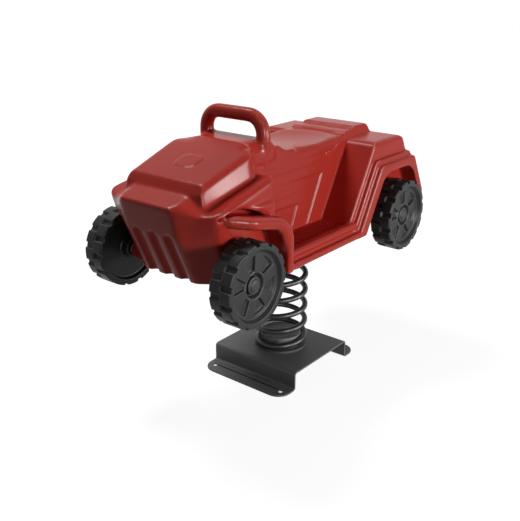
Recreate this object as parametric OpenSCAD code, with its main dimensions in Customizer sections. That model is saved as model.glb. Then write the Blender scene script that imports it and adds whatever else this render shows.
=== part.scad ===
// Spring rider: a moulded open car body on one coil spring and a bolted-down ground plate.
// Millimetres. X points forward, Y to the rider's left, Z up.
// The origin is on the ground, on the spring's axis.

/* [Ground plate] */
// Length of the raised top, along X
plate_l = 256; // [236:2:276]
// Width of the plate, along Y
plate_w = 292; // [272:2:312]
// Height of the raised top above the ground
plate_h = 56; // [46:1:66]
// Thickness of the steel sheet
sheet_t = 5; // [4:0.5:6]
// Outer radius of the bends
bend_r = 10; // [8:0.5:14]
// Reach of each flange beyond the raised part
flange_w = 62; // [54:1:72]
// Radius of the flange corners
flange_r = 40; // [24:1:46]
// Diameter of the ground-bolt holes
ground_hole_d = 13; // [11:0.5:15]
// Distance of the holes from the raised part
ground_hole_x = 31; // [26:1:36]
// Distance of the holes from the plate's ends
ground_hole_y = 25; // [20:1:32]

/* [Spring] */
// Outer diameter of the coil
spring_od = 154; // [148:1:160]
// Diameter of the wire
wire_d = 16; // [14:0.5:17]
// Rise of one turn
spring_pitch = 47.9; // [45:0.1:52]
// Turns that rise
spring_turns = 6.7; // [6:0.1:7.4]
// Level turns at each end
end_turns = 0.6; // [0.55:0.05:0.7]
// Bearing at which the lower level turn starts to rise, in degrees
rise_start = 85; // [0:5:355]

/* [Spring seats] */
// Thickness of the seat rings
ring_t = 6; // [5:0.5:10]
// Wall of the spring cups
cup_t = 4; // [3:0.5:5]
// Gap between a cup and the coil around it
cup_gap = 1.5; // [1:0.1:2.5]
// Number of radial bolts that hold an end coil
coil_bolts = 3; // [2:1:3]
// Thread diameter of the coil bolts
coil_bolt_d = 6; // [5:0.5:7]
// Bearing between neighbouring coil bolts, in degrees
coil_bolt_step = 56; // [40:1:62]

/* [Body mount] */
// Length of the mount plate, along X
mount_l = 230; // [214:2:250]
// Width of the mount plate, along Y
mount_w = 184; // [176:2:192]
// Thickness of the mount plate
mount_t = 6; // [5:0.5:8]
// Distance of the mount bolts from the plate's ends
mount_end = 22; // [18:1:26]
// Distance of the mount bolts from the plate's sides
mount_side = 22; // [18:1:26]
// Thread diameter of the mount bolts
mount_bolt_d = 10; // [8:1:12]
// Length of the inserts in the body
insert_l = 36; // [30:1:45]

/* [Running gear] */
// Distance of the front axle ahead of the spring's axis
front_axle_x = 400; // [390:1:410]
// Distance between the axles
wheelbase = 680; // [668:1:692]
// Height of the axles above the belly
axle_h = 22; // [19:0.5:26]
// Diameter of the axle rods
axle_d = 12; // [10:0.5:13]
// Diameter of the wheels
wheel_d = 203; // [193:1:209]
// Width of the wheels
wheel_w = 60; // [54:1:64]
// Gap between a wheel's inner face and the body's core
wheel_gap = 17; // [14:0.5:22]
// Lugs in each of the two rows of the tread
lug_count = 14; // [10:1:18]
// Depth of the gaps between lugs
lug_depth = 7; // [4:0.5:9]
// Part of a lug's pitch that the lug fills
lug_fill = 0.62; // [0.5:0.01:0.7]
// Pockets between the spokes
pocket_count = 6; // [5:1:7]
// Depth of the pockets behind the disc
pocket_depth = 7; // [4:0.5:10]

/* [Nose] */
// Width of the body's core between the wheels
core_w = 324; // [312:2:336]
// Reach of the nose ahead of the front axle
nose_reach = 114; // [106:1:122]
// Height of the nose's front edge above the belly
nose_h = 199; // [193:1:204]
// Rake of the front face's upper part from upright, in degrees
nose_rake = 14; // [11:0.5:17]
// Rake of its lower part
grille_rake = 24; // [21:0.5:26]
// Height above the belly at which the rake changes
nose_bend_h = 125; // [115:1:135]
// Width of the flat part of the front face
grille_w = 168; // [158:2:178]
// Depth of the cut front corners
nose_corner = 50; // [44:1:56]
// Distance of the nose's rear end behind the front axle
nose_back = 138; // [133:1:145]
// Slope of the hood, in degrees
hood_slope = 18; // [16.5:0.5:19]
// Height of the shoulder ridges above the belly, over the front axle
ridge_h = 206; // [200:1:211]
// Slope of the ridges, in degrees
ridge_slope = 14.5; // [12.5:0.5:16.5]
// Depth of the valleys between the ridges and the hood
valley_depth = 4; // [2:0.5:6]
// Number of upright grooves in the front face
groove_count = 3; // [1:1:3]
// Spacing of the grooves
groove_pitch = 51; // [46:1:56]
// Width of a groove
groove_w = 27; // [20:1:32]
// Height of the grooves' tops above the belly
groove_h = 129; // [112:1:136]

/* [Hood and handle] */
// Width of the hood cap's top at its front edge
cap_w = 236; // [226:1:242]
// Widening of the cap towards the rear on each side, in degrees
cap_taper = 3; // [2:0.5:4.5]
// Rise of the hood cap above the deck
cap_rise = 19; // [15:1:24]
// Distance of the cap's front edge from the nose's front edge, along the slope
cap_setback = 83; // [76:1:90]
// Flare of the cap's sides
cap_flare = 16; // [10:1:20]
// Height of the cowl above the belly
cowl_h = 302; // [298:1:306]
// Width of the cowl
cowl_w = 208; // [200:2:214]
// Distance of the handle behind the front axle
handle_back = 200; // [190:1:210]
// Width of the handle bow over its posts
handle_w = 220; // [208:2:224]
// Height of the handle's top above the cowl
handle_rise = 74; // [70:1:86]
// Diameter of the handle's tube
handle_d = 36; // [30:1:38]
// Bend radius of the handle's corners, at the tube's middle
handle_bend = 44; // [36:1:50]

/* [Seat] */
// Width of the saddle
saddle_w = 200; // [190:2:208]
// Height of the saddle above the belly
seat_h = 258; // [252:1:264]
// Depth of the dish in the saddle
dish_depth = 8; // [4:0.5:10]
// Distance of the saddle's rear end ahead of the rear axle
saddle_ahead = 123; // [115:1:130]
// Rise of each of the two steps behind the saddle
seat_step = 7; // [4:0.5:9]
// Distance of the second step ahead of the rear axle
ledge_ahead = 70; // [60:1:80]

/* [Rear body] */
// Distance of the wall behind the footboards ahead of the rear axle, at its foot
wall_ahead = 233; // [225:1:240]
// Rake of that wall from upright, in degrees
wall_rake = 29.7; // [27:0.1:32]
// Height of the rear block above the belly
block_h = 247; // [242:1:250]
// Width of the rear block
block_w = 386; // [378:2:392]
// Reach of the body behind the rear axle
tail_back = 129; // [123:1:136]
// Rake of the tail from upright, in degrees
tail_rake = 28.6; // [26:0.2:30]
// Gap above the rear wheels
rear_arch_gap = 36; // [30:1:42]
// Width of the rear arch lip
rear_lip = 25; // [20:1:30]
// Outward step of each moulding layer
layer_y = 11.5; // [9:0.5:13]
// Backward step of each moulding layer
layer_x = 20; // [16:0.5:22]

/* [Sides] */
// Height of the footboards above the belly
floor_h = 41; // [38:0.5:43]
// Height of the footboard rim above the belly
rim_h = 47; // [45:0.5:50]
// Height of the sill's underside above the belly
sill_h = 3; // [1:0.5:8]
// Number of tread ribs on each footboard
rib_count = 12; // [6:1:12]
// Spacing of the tread ribs
rib_pitch = 18.5; // [14:0.5:18.5]
// Width of a tread rib
rib_w = 8; // [5:0.5:10]
// Gap above the front wheels
front_arch_gap = 31; // [26:1:34]
// Thickness of the front fender strips
strip_t = 17; // [14:1:22]
// Slope of the strips, rising to the front, in degrees
strip_slope = 13; // [11:0.5:15]
// Gap behind the front wheels at axle height
strip_gap = 41; // [36:1:44]
// Depth of each step in the side panels
panel_step = 3; // [2:0.5:4]

/* [Hidden] */
$fn = 96;
ARC_STEPS = 6;
EPS = 0.01;
// Reach of a cutter or a trimming prism beyond what it trims
OVER = 400;

RED = "#b32a24";
STEEL = "#3c3c3e";
RUBBER = "#404042";
ZINC = "#a9adb2";
NYLON = "#d9d6cc";

// Radii of moulded edges
EDGE_S = 6;
EDGE_M = 14;
EDGE_L = 26;

// Clearances
touch_gap = 0.3;
slide_fit = 0.05;
hole_fit = 0.3;

// Stack from the ground to the belly of the body
wire_r = wire_d / 2;
coil_r = (spring_od - wire_d) / 2;
coil_low_z = plate_h + ring_t + touch_gap + wire_r;
coil_rise = spring_pitch * spring_turns;
coil_high_z = coil_low_z + coil_rise;
belly_z = coil_high_z + wire_r + touch_gap + ring_t;
cup_r = coil_r - wire_r - cup_gap;

// Fastener proportions
function hex_r(d) = 0.96 * d;
function head_t(d) = 0.65 * d;
function nut_t(d) = 0.8 * d;

// Coil bolts lie just past the end coil that they hold
coil_bolt_h = ring_t + touch_gap + wire_d + touch_gap + hex_r(coil_bolt_d);
cup_h = coil_bolt_h + hex_r(coil_bolt_d) + touch_gap + cup_t;
coil_bolt_lead = 58;

// Wheels and axles
wheel_r = wheel_d / 2;
rear_axle_x = front_axle_x - wheelbase;
axle_z = belly_z + axle_h;

// Places along the body, from its axles
nose_x = front_axle_x + nose_reach;
nose_rear_x = front_axle_x - nose_back;
handle_x = front_axle_x - handle_back;
saddle_rear_x = rear_axle_x + saddle_ahead;
ledge_x = rear_axle_x + ledge_ahead;
wall_x = rear_axle_x + wall_ahead;
tail_x = rear_axle_x - tail_back;

// Body's core and the stack of parts on an axle
core_half = core_w / 2;
wheel_in = core_half + wheel_gap;
bush_flange_t = 3;
bush_wall = 3;
bush_l = 40;
washer_t = 2.5;
hub_in = core_half + bush_flange_t + washer_t + 2 * touch_gap;
disc_back = 12;
disc_set = 10;
hub_set = 20;
hub_r = 25;
bead_r = 0.83 * wheel_r;
push_nut_t = 4;
hub_cap_wall = 3;

// Rear wall, tail and moulding layers
block_half = block_w / 2;
lip_half = block_half + 2 * layer_y;
function wall_at(z, layer) = wall_x - (z - rim_h) * tan(wall_rake) - layer * layer_x;
tail_foot_h = 66;
tail_under = 12;
tail_layer = 4;
function tail_at(z, layer) = tail_x + (z - tail_foot_h) * tan(tail_rake) - layer * tail_layer;
rear_arch_h = axle_h + wheel_r + rear_arch_gap;
lip_h = rear_arch_h + rear_lip;
layer_rise = 15;
lip_front = 40;
lip_back = 22;

// Front fender strips
front_arch_h = axle_h + wheel_r + front_arch_gap;
function strip_low(x) = front_arch_h + (x - front_axle_x) * tan(strip_slope);
function strip_top(x) = strip_low(x) + strip_t;
strip_foot = 24;
strip_in_x = front_axle_x - wheel_r - strip_gap;
strip_out_x = strip_in_x - strip_foot;
// A strip's leg is upright up to its knee and leans forward above it
strip_knee_h = 60;
strip_lean_in = 22;
strip_lean_out = 16;
// Point where a side of the leg, from its knee at x, meets the strip's line of height h over the axle
function strip_bend(x, lean, h) =
    let (
        run = tan(lean),
        z = (h + (x - front_axle_x - strip_knee_h * run) * tan(strip_slope)) / (1 - run * tan(strip_slope))
    )
    [x + (z - strip_knee_h) * run, z];

// Mount bolts
mount_bolt_x = mount_l / 2 - mount_end;
mount_bolt_y = mount_w / 2 - mount_side;

// Handle
handle_post_y = (handle_w - handle_d) / 2;
handle_mid_h = cowl_h + handle_rise - handle_d / 2;

// Unit vector along v
function unit(v) = v / norm(v);
// Points of the arc that rounds corner c, which lies between p and n, with radius c[2]
function corner_arc(p, c, n) =
    let (at = [c[0], c[1]])
    c[2] == 0 ? [at] :
    let (
        u = unit([p[0], p[1]] - at),
        v = unit([n[0], n[1]] - at),
        half = acos(u * v) / 2,
        mid = at + unit(u + v) * c[2] / sin(half),
        from = at + u * c[2] / tan(half) - mid,
        turn = u[0] * v[1] > u[1] * v[0] ? -1 : 1,
        sweep = turn * (180 - 2 * half)
    )
    [for (i = [0 : ARC_STEPS])
        let (a = sweep * i / ARC_STEPS)
        mid + [from[0] * cos(a) - from[1] * sin(a), from[0] * sin(a) + from[1] * cos(a)]];
// Outline whose corners [x, y, radius] are rounded
function rounded(c) =
    let (n = len(c))
    [for (i = [0 : n - 1]) each corner_arc(c[(i + n - 1) % n], c[i], c[(i + 1) % n])];
// Both halves of a section given by the corners of its right half, from the bottom to the top
function both_halves(c) =
    let (n = len(c))
    concat(c, [for (i = [n - 1 : -1 : 0]) [-c[i][0], c[i][1], c[i][2]]]);
// Ribbon of width w along a path
function ribbon(path, w) =
    let (
        n = len(path),
        side = [for (i = [0 : n - 1])
            let (d = unit(path[min(i + 1, n - 1)] - path[max(i - 1, 0)]))
            [-d[1], d[0]] * w / 2]
    )
    concat([for (i = [0 : n - 1]) path[i] + side[i]],
        [for (i = [n - 1 : -1 : 0]) path[i] - side[i]]);

// Prism of an X-Z outline between two values of Y
module side_prism(y0, y1, outline) {
    translate([0, y1, 0]) rotate([90, 0, 0]) linear_extrude(y1 - y0) polygon(outline);
}
// Prism of a Y-Z section between two values of X
module cross_prism(x0, x1, section) {
    translate([x0, 0, 0]) rotate([90, 0, 90]) linear_extrude(x1 - x0) polygon(section);
}
// Prism of an X-Y plan between two values of Z
module plan_prism(z0, z1, plan) {
    translate([0, 0, z0]) linear_extrude(z1 - z0) polygon(plan);
}
// Children on both sides of the body
module both_sides() {
    children();
    mirror([0, 1, 0]) children();
}
// Children in the body's own height, counted from the belly
module on_belly() {
    translate([0, 0, belly_z]) children();
}

// Hex-headed bolt with its head's underside at z = 0 and its shank upwards
module hex_bolt(d, l) {
    translate([0, 0, -head_t(d)]) cylinder(r = hex_r(d), h = head_t(d), $fn = 6);
    translate([0, 0, -EPS]) cylinder(d = d, h = l + EPS);
}

// Ground plate: sheet bent to a hat section, with a bolt hole at each flange corner
flange_end = plate_l / 2 + flange_w;
module ground_plate_section() {
    wall_out = plate_l / 2;
    wall_in = wall_out - sheet_t;
    inner_r = bend_r - sheet_t;
    polygon(rounded(both_halves([
        [wall_in, plate_h - sheet_t, inner_r], [wall_in, 0, bend_r], [flange_end, 0, 0],
        [flange_end, sheet_t, 0], [wall_out, sheet_t, inner_r], [wall_out, plate_h, bend_r]
    ])));
}
module ground_plate() {
    half = plate_w / 2;
    color(STEEL) difference() {
        intersection() {
            translate([0, half, 0]) rotate([90, 0, 0]) linear_extrude(plate_w) ground_plate_section();
            plan_prism(-1, plate_h + 1, rounded([
                [flange_end, half, flange_r], [-flange_end, half, flange_r],
                [-flange_end, -half, flange_r], [flange_end, -half, flange_r]
            ]));
        }
        for (sx = [-1, 1], sy = [-1, 1])
            translate([sx * (plate_l / 2 + ground_hole_x), sy * (half - ground_hole_y), -1])
                cylinder(d = ground_hole_d, h = sheet_t + 2);
    }
}

// Spring: one tube along a helix whose end turns are level
TURN_RINGS = 24;
TUBE_SIDES = 6;
turn_total = spring_turns + 2 * end_turns;
ring_count = ceil(turn_total * TURN_RINGS);
function spring_turn(i) = turn_total * i / ring_count;
function spring_level(t) = spring_pitch * min(max(t - end_turns, 0), spring_turns);
function spring_bearing(t) = rise_start + 360 * (t - end_turns);
function spring_mid(i) =
    let (t = spring_turn(i), a = spring_bearing(t))
    [coil_r * cos(a), coil_r * sin(a), coil_low_z + spring_level(t)];
function spring_ring(i) =
    let (m = spring_mid(i), a = spring_bearing(spring_turn(i)))
    [for (k = [0 : TUBE_SIDES - 1])
        let (b = 360 * (k + 0.5) / TUBE_SIDES, out = wire_r * cos(b))
        m + [out * cos(a), out * sin(a), wire_r * sin(b)]];
function tube_faces(rings, sides) = concat(
    [for (k = [1 : sides - 2]) [0, k, k + 1]],
    [for (i = [0 : rings - 1], k = [0 : sides - 1], half = [0, 1])
        let (a = i * sides + k, b = i * sides + (k + 1) % sides)
        half == 0 ? [a, a + sides, b] : [b, a + sides, b + sides]],
    [for (k = [1 : sides - 2]) [rings * sides, rings * sides + k + 1, rings * sides + k]]
);
spring_mids = [for (i = [0 : ring_count]) spring_mid(i)];
spring_gap = min([for (i = [0 : ring_count], j = [i + TURN_RINGS / 2 : 1 : ring_count])
    norm(spring_mids[i] - spring_mids[j])]) - wire_d;
echo(least_gap_between_coils = spring_gap);
module spring() {
    color(STEEL) polyhedron(
        points = [for (i = [0 : ring_count]) each spring_ring(i)],
        faces = tube_faces(ring_count, TUBE_SIDES)
    );
}

// Spring seats, built upwards from their plate at z = 0
module seat_ring() {
    color(NYLON) rotate_extrude() translate([cup_r + touch_gap, 0])
        square([spring_od / 2 - cup_r - touch_gap, ring_t]);
}
module at_coil_bolts(first, step) {
    for (i = [0 : coil_bolts - 1])
        rotate([0, 0, first + i * step]) translate([cup_r, 0, coil_bolt_h]) rotate([0, -90, 0]) children();
}
module spring_cup(first, step) {
    color(STEEL) difference() {
        cylinder(r = cup_r, h = cup_h);
        translate([0, 0, -1]) cylinder(r = cup_r - cup_t, h = cup_h - cup_t + 1);
        at_coil_bolts(first, step) translate([0, 0, -1])
            cylinder(d = coil_bolt_d + hole_fit, h = 2 * cup_t + 2);
    }
}
// The cup's wall is curved, so a head and a nut stand off by the sagitta under them
coil_head_off = cup_r - sqrt(pow(cup_r, 2) - pow(hex_r(coil_bolt_d), 2));
coil_grip = cup_t + nut_t(coil_bolt_d) + 2;
module coil_bolt_set(first, step) {
    color(ZINC) at_coil_bolts(first, step) translate([0, 0, -EPS]) hex_bolt(coil_bolt_d, coil_grip);
}
module coil_nut_set(first, step) {
    color(ZINC) at_coil_bolts(first, step) translate([0, 0, cup_t + coil_head_off]) difference() {
        cylinder(r = hex_r(coil_bolt_d), h = nut_t(coil_bolt_d), $fn = 6);
        translate([0, 0, -1]) cylinder(d = coil_bolt_d + 2 * slide_fit, h = nut_t(coil_bolt_d) + 2);
    }
}
module lower_place() {
    translate([0, 0, plate_h]) children();
}
module upper_place() {
    translate([0, 0, belly_z]) mirror([0, 0, 1]) children();
}
lower_first = rise_start - coil_bolt_lead;
upper_first = rise_start + 360 * spring_turns + coil_bolt_lead;

// Mount plate let into the belly, with its bolts, washers and inserts
module at_mount_bolts() {
    for (sx = [-1, 1], sy = [-1, 1]) translate([sx * mount_bolt_x, sy * mount_bolt_y, 0]) children();
}
mount_corner = 18;
mount_washer_t = 2;
function mount_outline(grow) =
    let (x = mount_l / 2 + grow, y = mount_w / 2 + grow, r = mount_corner + grow)
    rounded([[x, y, r], [-x, y, r], [-x, -y, r], [x, -y, r]]);
module mount_plate() {
    color(STEEL) on_belly() difference() {
        plan_prism(0, mount_t, mount_outline(0));
        at_mount_bolts() translate([0, 0, -1]) cylinder(d = mount_bolt_d + 2 * hole_fit, h = mount_t + 2);
    }
}
module mount_washers() {
    color(ZINC) on_belly() at_mount_bolts() translate([0, 0, -mount_washer_t]) difference() {
        cylinder(d = 2.2 * mount_bolt_d, h = mount_washer_t);
        translate([0, 0, -1]) cylinder(d = mount_bolt_d + 2 * hole_fit, h = mount_washer_t + 2);
    }
}
module mount_bolts() {
    color(ZINC) on_belly() at_mount_bolts() translate([0, 0, -mount_washer_t])
        hex_bolt(mount_bolt_d, mount_washer_t + mount_t + insert_l - mount_bolt_d / 2);
}
insert_r = 0.9 * mount_bolt_d;
module body_inserts() {
    color(ZINC) on_belly() at_mount_bolts() translate([0, 0, mount_t]) difference() {
        cylinder(r = insert_r, h = insert_l);
        translate([0, 0, -1]) cylinder(d = mount_bolt_d + 2 * slide_fit, h = insert_l - 1);
    }
}

// Nose: a front of two rakes, trimmed by the deck in its middle and a ridge along each shoulder
nose_bend_x = nose_x - (nose_h - nose_bend_h) * tan(nose_rake);
shoulder_out = 16;
shoulder_run = 40;
shoulder_half = core_half + shoulder_out;
function ridge_at(x) = ridge_h + (front_axle_x - x) * tan(ridge_slope);
module along_rake(rake, x, h) {
    translate([x - h * tan(rake), 0, 0]) rotate([0, rake, 0]) children();
}
module along_hood() {
    translate([nose_x, 0, nose_h]) rotate([0, hood_slope, 0]) children();
}
// Plan of the nose: the flat front, a cut corner and what lies behind the corner on each side
function nose_plan(behind) =
    let (side = concat([[0, grille_w / 2, EDGE_L], [-nose_corner, core_half, EDGE_L]], behind))
    rounded(concat(side, [for (i = [len(side) - 1 : -1 : 0]) [side[i][0], -side[i][1], side[i][2]]]));
module nose_front(plan) {
    intersection() {
        along_rake(nose_rake, nose_x, nose_h) plan_prism(-OVER, OVER, plan);
        along_rake(grille_rake, nose_bend_x, nose_bend_h) plan_prism(-OVER, OVER, plan);
    }
}
deck_flat = 87;
deck_edge = 128;
deck_fall = 28;
crest_y = shoulder_half - 20;
valley_y = crest_y - 18;
module nose_top() {
    along_hood() cross_prism(-OVER, OVER / 4, rounded(both_halves([
        [deck_edge, -OVER, 0], [deck_edge, -deck_fall, EDGE_S], [deck_flat, 0, EDGE_L]
    ])));
    translate([front_axle_x, 0, ridge_h]) rotate([0, ridge_slope, 0])
        cross_prism(-OVER, OVER / 4, rounded(both_halves([
            [shoulder_half, -OVER, 0], [shoulder_half, 0, EDGE_M], [crest_y, 0, EDGE_M],
            [valley_y, -valley_depth, EDGE_M]
        ])));
}
// Slanting cut across the front end of a ridge
ridge_end_x = front_axle_x + 50;
ridge_end_dip = 36;
ridge_end_turn = 37;
module ridge_end() {
    translate([ridge_end_x, core_half, ridge_at(ridge_end_x)]) rotate([0, -ridge_end_dip, ridge_end_turn])
        translate([0, -OVER / 4, -OVER / 4]) cube(OVER / 2);
}
// Space above the middle of the fender strips
module above_strips() {
    mid = strip_t / 2;
    side_prism(-OVER, OVER, [
        [0, strip_low(0) + mid], [nose_x, strip_low(nose_x) + mid], [nose_x, OVER], [0, OVER]
    ]);
}
// Half-moon hollow in the side, over the fender strip
hollow_x = front_axle_x - 35;
hollow_half = 84;
hollow_rise = 20;
hollow_depth = 26;
module side_hollow() {
    r = (pow(hollow_half, 2) + pow(hollow_rise, 2)) / (2 * hollow_rise);
    intersection() {
        translate([hollow_x, core_half - hollow_depth, strip_top(hollow_x)]) rotate([0, -strip_slope, 0])
            translate([0, 0, hollow_rise - r]) rotate([-90, 0, 0]) cylinder(r = r, h = OVER);
        above_strips();
    }
}
module nose() {
    difference() {
        intersection() {
            union() {
                nose_front(nose_plan([[-OVER, core_half, 0]]));
                intersection() {
                    nose_front(nose_plan([
                        [-nose_corner - shoulder_run, shoulder_half, EDGE_L], [-OVER, shoulder_half, 0]
                    ]));
                    above_strips();
                }
            }
            nose_top();
            plan_prism(0, OVER, rounded([
                [nose_rear_x, -shoulder_half - 1, EDGE_M], [nose_rear_x, shoulder_half + 1, EDGE_M],
                [nose_x + OVER, shoulder_half + 1, 0], [nose_x + OVER, -shoulder_half - 1, 0]
            ]));
        }
        both_sides() {
            ridge_end();
            side_hollow();
        }
    }
}
groove_sink = 2;
module nose_grooves() {
    r = groove_w / 2;
    top = groove_h / cos(grille_rake) - r;
    for (i = [0 : groove_count - 1])
        along_rake(grille_rake, nose_bend_x, nose_bend_h)
            translate([groove_sink, (i - (groove_count - 1) / 2) * groove_pitch, 0]) {
                translate([0, 0, -OVER / 4]) cylinder(r = r, h = OVER / 4 + top);
                translate([0, 0, top]) sphere(r = r);
            }
}

// Hood cap and cowl
cap_skirt = 60;
cap_l = 195;
cap_brow_l = 21;
cap_brow_h = 17;
cap_foot_l = 42;
cap_rear_half = 102;
cap_rear_turn = 30;
module hood_cap() {
    rear = -cap_setback - cap_l;
    reach = OVER / 4;
    rear_wide = cap_rear_half + reach * tan(cap_rear_turn);
    side = rounded([
        [-OVER, -cap_skirt, 0], [cap_flare, -cap_skirt, 0], [0, cap_rise, EDGE_M], [-OVER, cap_rise, 0]
    ]);
    along_hood() intersection() {
        translate([-cap_setback, cap_w / 2, 0]) rotate([0, 0, -cap_taper])
            cross_prism(-OVER, OVER / 4, side);
        mirror([0, 1, 0]) translate([-cap_setback, cap_w / 2, 0]) rotate([0, 0, -cap_taper])
            cross_prism(-OVER, OVER / 4, side);
        side_prism(-OVER, OVER, rounded([
            [cap_foot_l - cap_setback, -cap_skirt - 1, 0],
            [cap_brow_l - cap_setback, cap_rise - cap_brow_h, EDGE_M],
            [-cap_setback, cap_rise, EDGE_M], [rear - 1, cap_rise, 0], [rear - 1, -cap_skirt - 1, 0]
        ]));
        plan_prism(-OVER, OVER, rounded([
            [0, -rear_wide, 0], [0, rear_wide, 0], [rear + reach, rear_wide, 0],
            [rear, cap_rear_half, EDGE_S],
            [rear, -cap_rear_half, EDGE_S], [rear + reach, -rear_wide, 0]
        ]));
    }
}
hood_pad_l = 52;
hood_pad_w = 60;
hood_pad_t = 2;
hood_pad_r = 16;
hood_pad_set = 80;
module hood_pad() {
    x = hood_pad_l / 2;
    y = hood_pad_w / 2;
    along_hood() translate([-cap_setback - hood_pad_set, 0, 0])
        plan_prism(0, cap_rise + hood_pad_t, rounded([
            [x, y, hood_pad_r], [-x, y, hood_pad_r], [-x, -y, hood_pad_r], [x, -y, hood_pad_r]
        ]));
}
cowl_front_x = nose_rear_x;
cowl_rear_x = handle_x - 34;
cowl_foot_x = handle_x - 88;
cowl_drop = 54;
module cowl() {
    half = cowl_w / 2;
    intersection() {
        side_prism(-half, half, rounded([
            [cowl_rear_x, cowl_h - cowl_drop, 0], [cowl_rear_x, cowl_h, EDGE_M],
            [cowl_front_x, cowl_h, 0], [cowl_front_x, cowl_h - cowl_drop, 0]
        ]));
        cross_prism(cowl_rear_x - 1, cowl_front_x + 1, rounded(both_halves([
            [half, 0, 0], [half, cowl_h, EDGE_L]
        ])));
    }
}

// Handle bow: two posts, two bends and a bar; each post tapers into the side below it
handle_root_h = 70;
handle_root_in = 8;
module handle() {
    r = handle_d / 2;
    bend_y = handle_post_y - handle_bend;
    bend_h = handle_mid_h - handle_bend;
    translate([handle_x, 0, 0]) {
        translate([0, -bend_y, handle_mid_h]) rotate([-90, 0, 0]) cylinder(r = r, h = 2 * bend_y);
        both_sides() {
            translate([0, bend_y, bend_h]) rotate([90, 0, 90])
                rotate_extrude(angle = 90) translate([handle_bend, 0]) circle(r = r);
            translate([0, handle_post_y, 0]) rotate_extrude() polygon([
                [0, cowl_h - handle_root_h], [r - handle_root_in, cowl_h - handle_root_h],
                [r, cowl_h - handle_root_in], [r, bend_h], [0, bend_h]
            ]);
        }
    }
}

// Saddle and the ledge behind it
ledge_taper = 14;
tub_front_x = nose_rear_x + 6;
tub_rear_x = handle_x - 128;
dish_ball_r = 700;
dish_x = saddle_rear_x + 122;
cowl_bend_r = 50;
saddle_bend_r = 70;
saddle_front_rise = 3;
function saddle_section(sink) =
    let (half = saddle_w / 2 - sink)
    rounded(both_halves([[half, 0, 0], [half, seat_h + 4 - sink, EDGE_L]]));
module saddle() {
    half = saddle_w / 2;
    ledge_h = seat_h + seat_step;
    rear_h = ledge_h + seat_step;
    step_x = saddle_rear_x - seat_step / 2;
    top = rounded([
        [tub_front_x, 0, 0], [tub_front_x, cowl_h - 5, 0], [cowl_rear_x, cowl_h - 4, cowl_bend_r],
        [cowl_foot_x, seat_h + saddle_front_rise, saddle_bend_r],
        [saddle_rear_x, seat_h, 0], [saddle_rear_x - seat_step, ledge_h, 0],
        [ledge_x, ledge_h, 0], [ledge_x - seat_step, rear_h, EDGE_S],
        [tail_at(rear_h, 0) + 10, rear_h, EDGE_M], [tail_at(0, 0) + 60, 0, 0]
    ]);
    difference() {
        intersection() {
            side_prism(-half, half, top);
            union() {
                cross_prism(step_x, tub_front_x, saddle_section(0));
                cross_prism(tub_rear_x, tub_front_x, rounded(both_halves([
                    [half, 0, 0], [half - 3, cowl_h, EDGE_L]
                ])));
                cross_prism(tail_x - OVER / 4, step_x + EPS, rounded(both_halves([
                    [half, 0, 0], [half, block_h - 16, EDGE_M], [half - ledge_taper, rear_h + 2, EDGE_M]
                ])));
            }
        }
        translate([dish_x, 0, seat_h + dish_ball_r - dish_depth]) sphere(r = dish_ball_r, $fn = 200);
    }
}

// Rear block and the moulding layers around its wheel arch
module rear_block() {
    profile = rounded([
        [wall_at(0, 0), 0, 0], [wall_at(block_h, 0), block_h, EDGE_L],
        [tail_at(block_h, 0), block_h, EDGE_L],
        [tail_at(tail_foot_h, 0), tail_foot_h, EDGE_L], [tail_x + tail_under, 0, EDGE_M]
    ]);
    intersection() {
        side_prism(-block_half, block_half, profile);
        cross_prism(tail_x - OVER / 4, 0, rounded(both_halves([
            [core_half, -1, 0], [core_half, sill_h, 0], [block_half, sill_h, EDGE_S],
            [block_half, block_h, EDGE_M]
        ])));
    }
}
module rear_layer(layer, top) {
    half = block_half + layer * layer_y;
    both_sides() side_prism(core_half - 10, half, rounded([
        [wall_at(sill_h, layer), sill_h, 0], [wall_at(top, layer), top, EDGE_L],
        [tail_at(top, layer), top, EDGE_M],
        [tail_at(tail_foot_h, layer), tail_foot_h, EDGE_M], [tail_x + tail_under, sill_h, EDGE_S]
    ]));
}
arch_end_h = 56;
arch_front_r = 58;
arch_back_r = 64;
module rear_arch_cut() {
    front_low = wall_at(-OVER / 4, 2) - lip_front;
    front_top = wall_at(rear_arch_h, 2) - lip_front;
    back_top = tail_at(rear_arch_h, 2) + lip_back;
    back_low = tail_at(arch_end_h, 2) + lip_back;
    both_sides() side_prism(core_half, OVER, rounded([
        [front_low, -OVER / 4, 0], [front_top, rear_arch_h, arch_front_r],
        [back_top, rear_arch_h, arch_back_r],
        [back_low, arch_end_h, 0], [-2 * OVER, arch_end_h, 0], [-2 * OVER, -OVER / 4, 0]
    ]));
}

// Footboards and sills; a groove runs along each sill
rim_w = 14;
sill_round = 3;
sill_groove = 2;
sill_low = 18;
sill_high = 25;
module footboards() {
    rear = wall_at(rim_h, 2) - 30;
    front = nose_rear_x + 1;
    inner = core_half - EDGE_M;
    side = block_half + layer_y;
    root = block_half - rim_w;
    side_prism(-block_half, block_half, [
        [rear, sill_h], [rear, floor_h], [front, floor_h], [front, sill_h]
    ]);
    side_prism(-inner, inner, [
        [front - EDGE_L, sill_h], [front - EDGE_L, floor_h], [front + EDGE_L, floor_h], [front + EDGE_L, sill_h]
    ]);
    both_sides() cross_prism(rear, strip_in_x - sill_round, rounded([
        [root, sill_h, 0], [lip_half - sill_round, sill_h, EDGE_S],
        [lip_half, sill_h + sill_low / 2, EDGE_S],
        [lip_half - sill_groove, sill_h + sill_low, sill_round], [side - sill_groove, sill_h + sill_low, 0],
        [side - sill_round, sill_h + sill_high, 0], [side, rim_h - sill_low / 2, sill_round],
        [side - sill_round, rim_h, EDGE_S], [root, rim_h, sill_round]
    ]));
}
rib_t = 3;
rib_end_gap = 4;
rib_rear_x = wall_x + 21;
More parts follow.
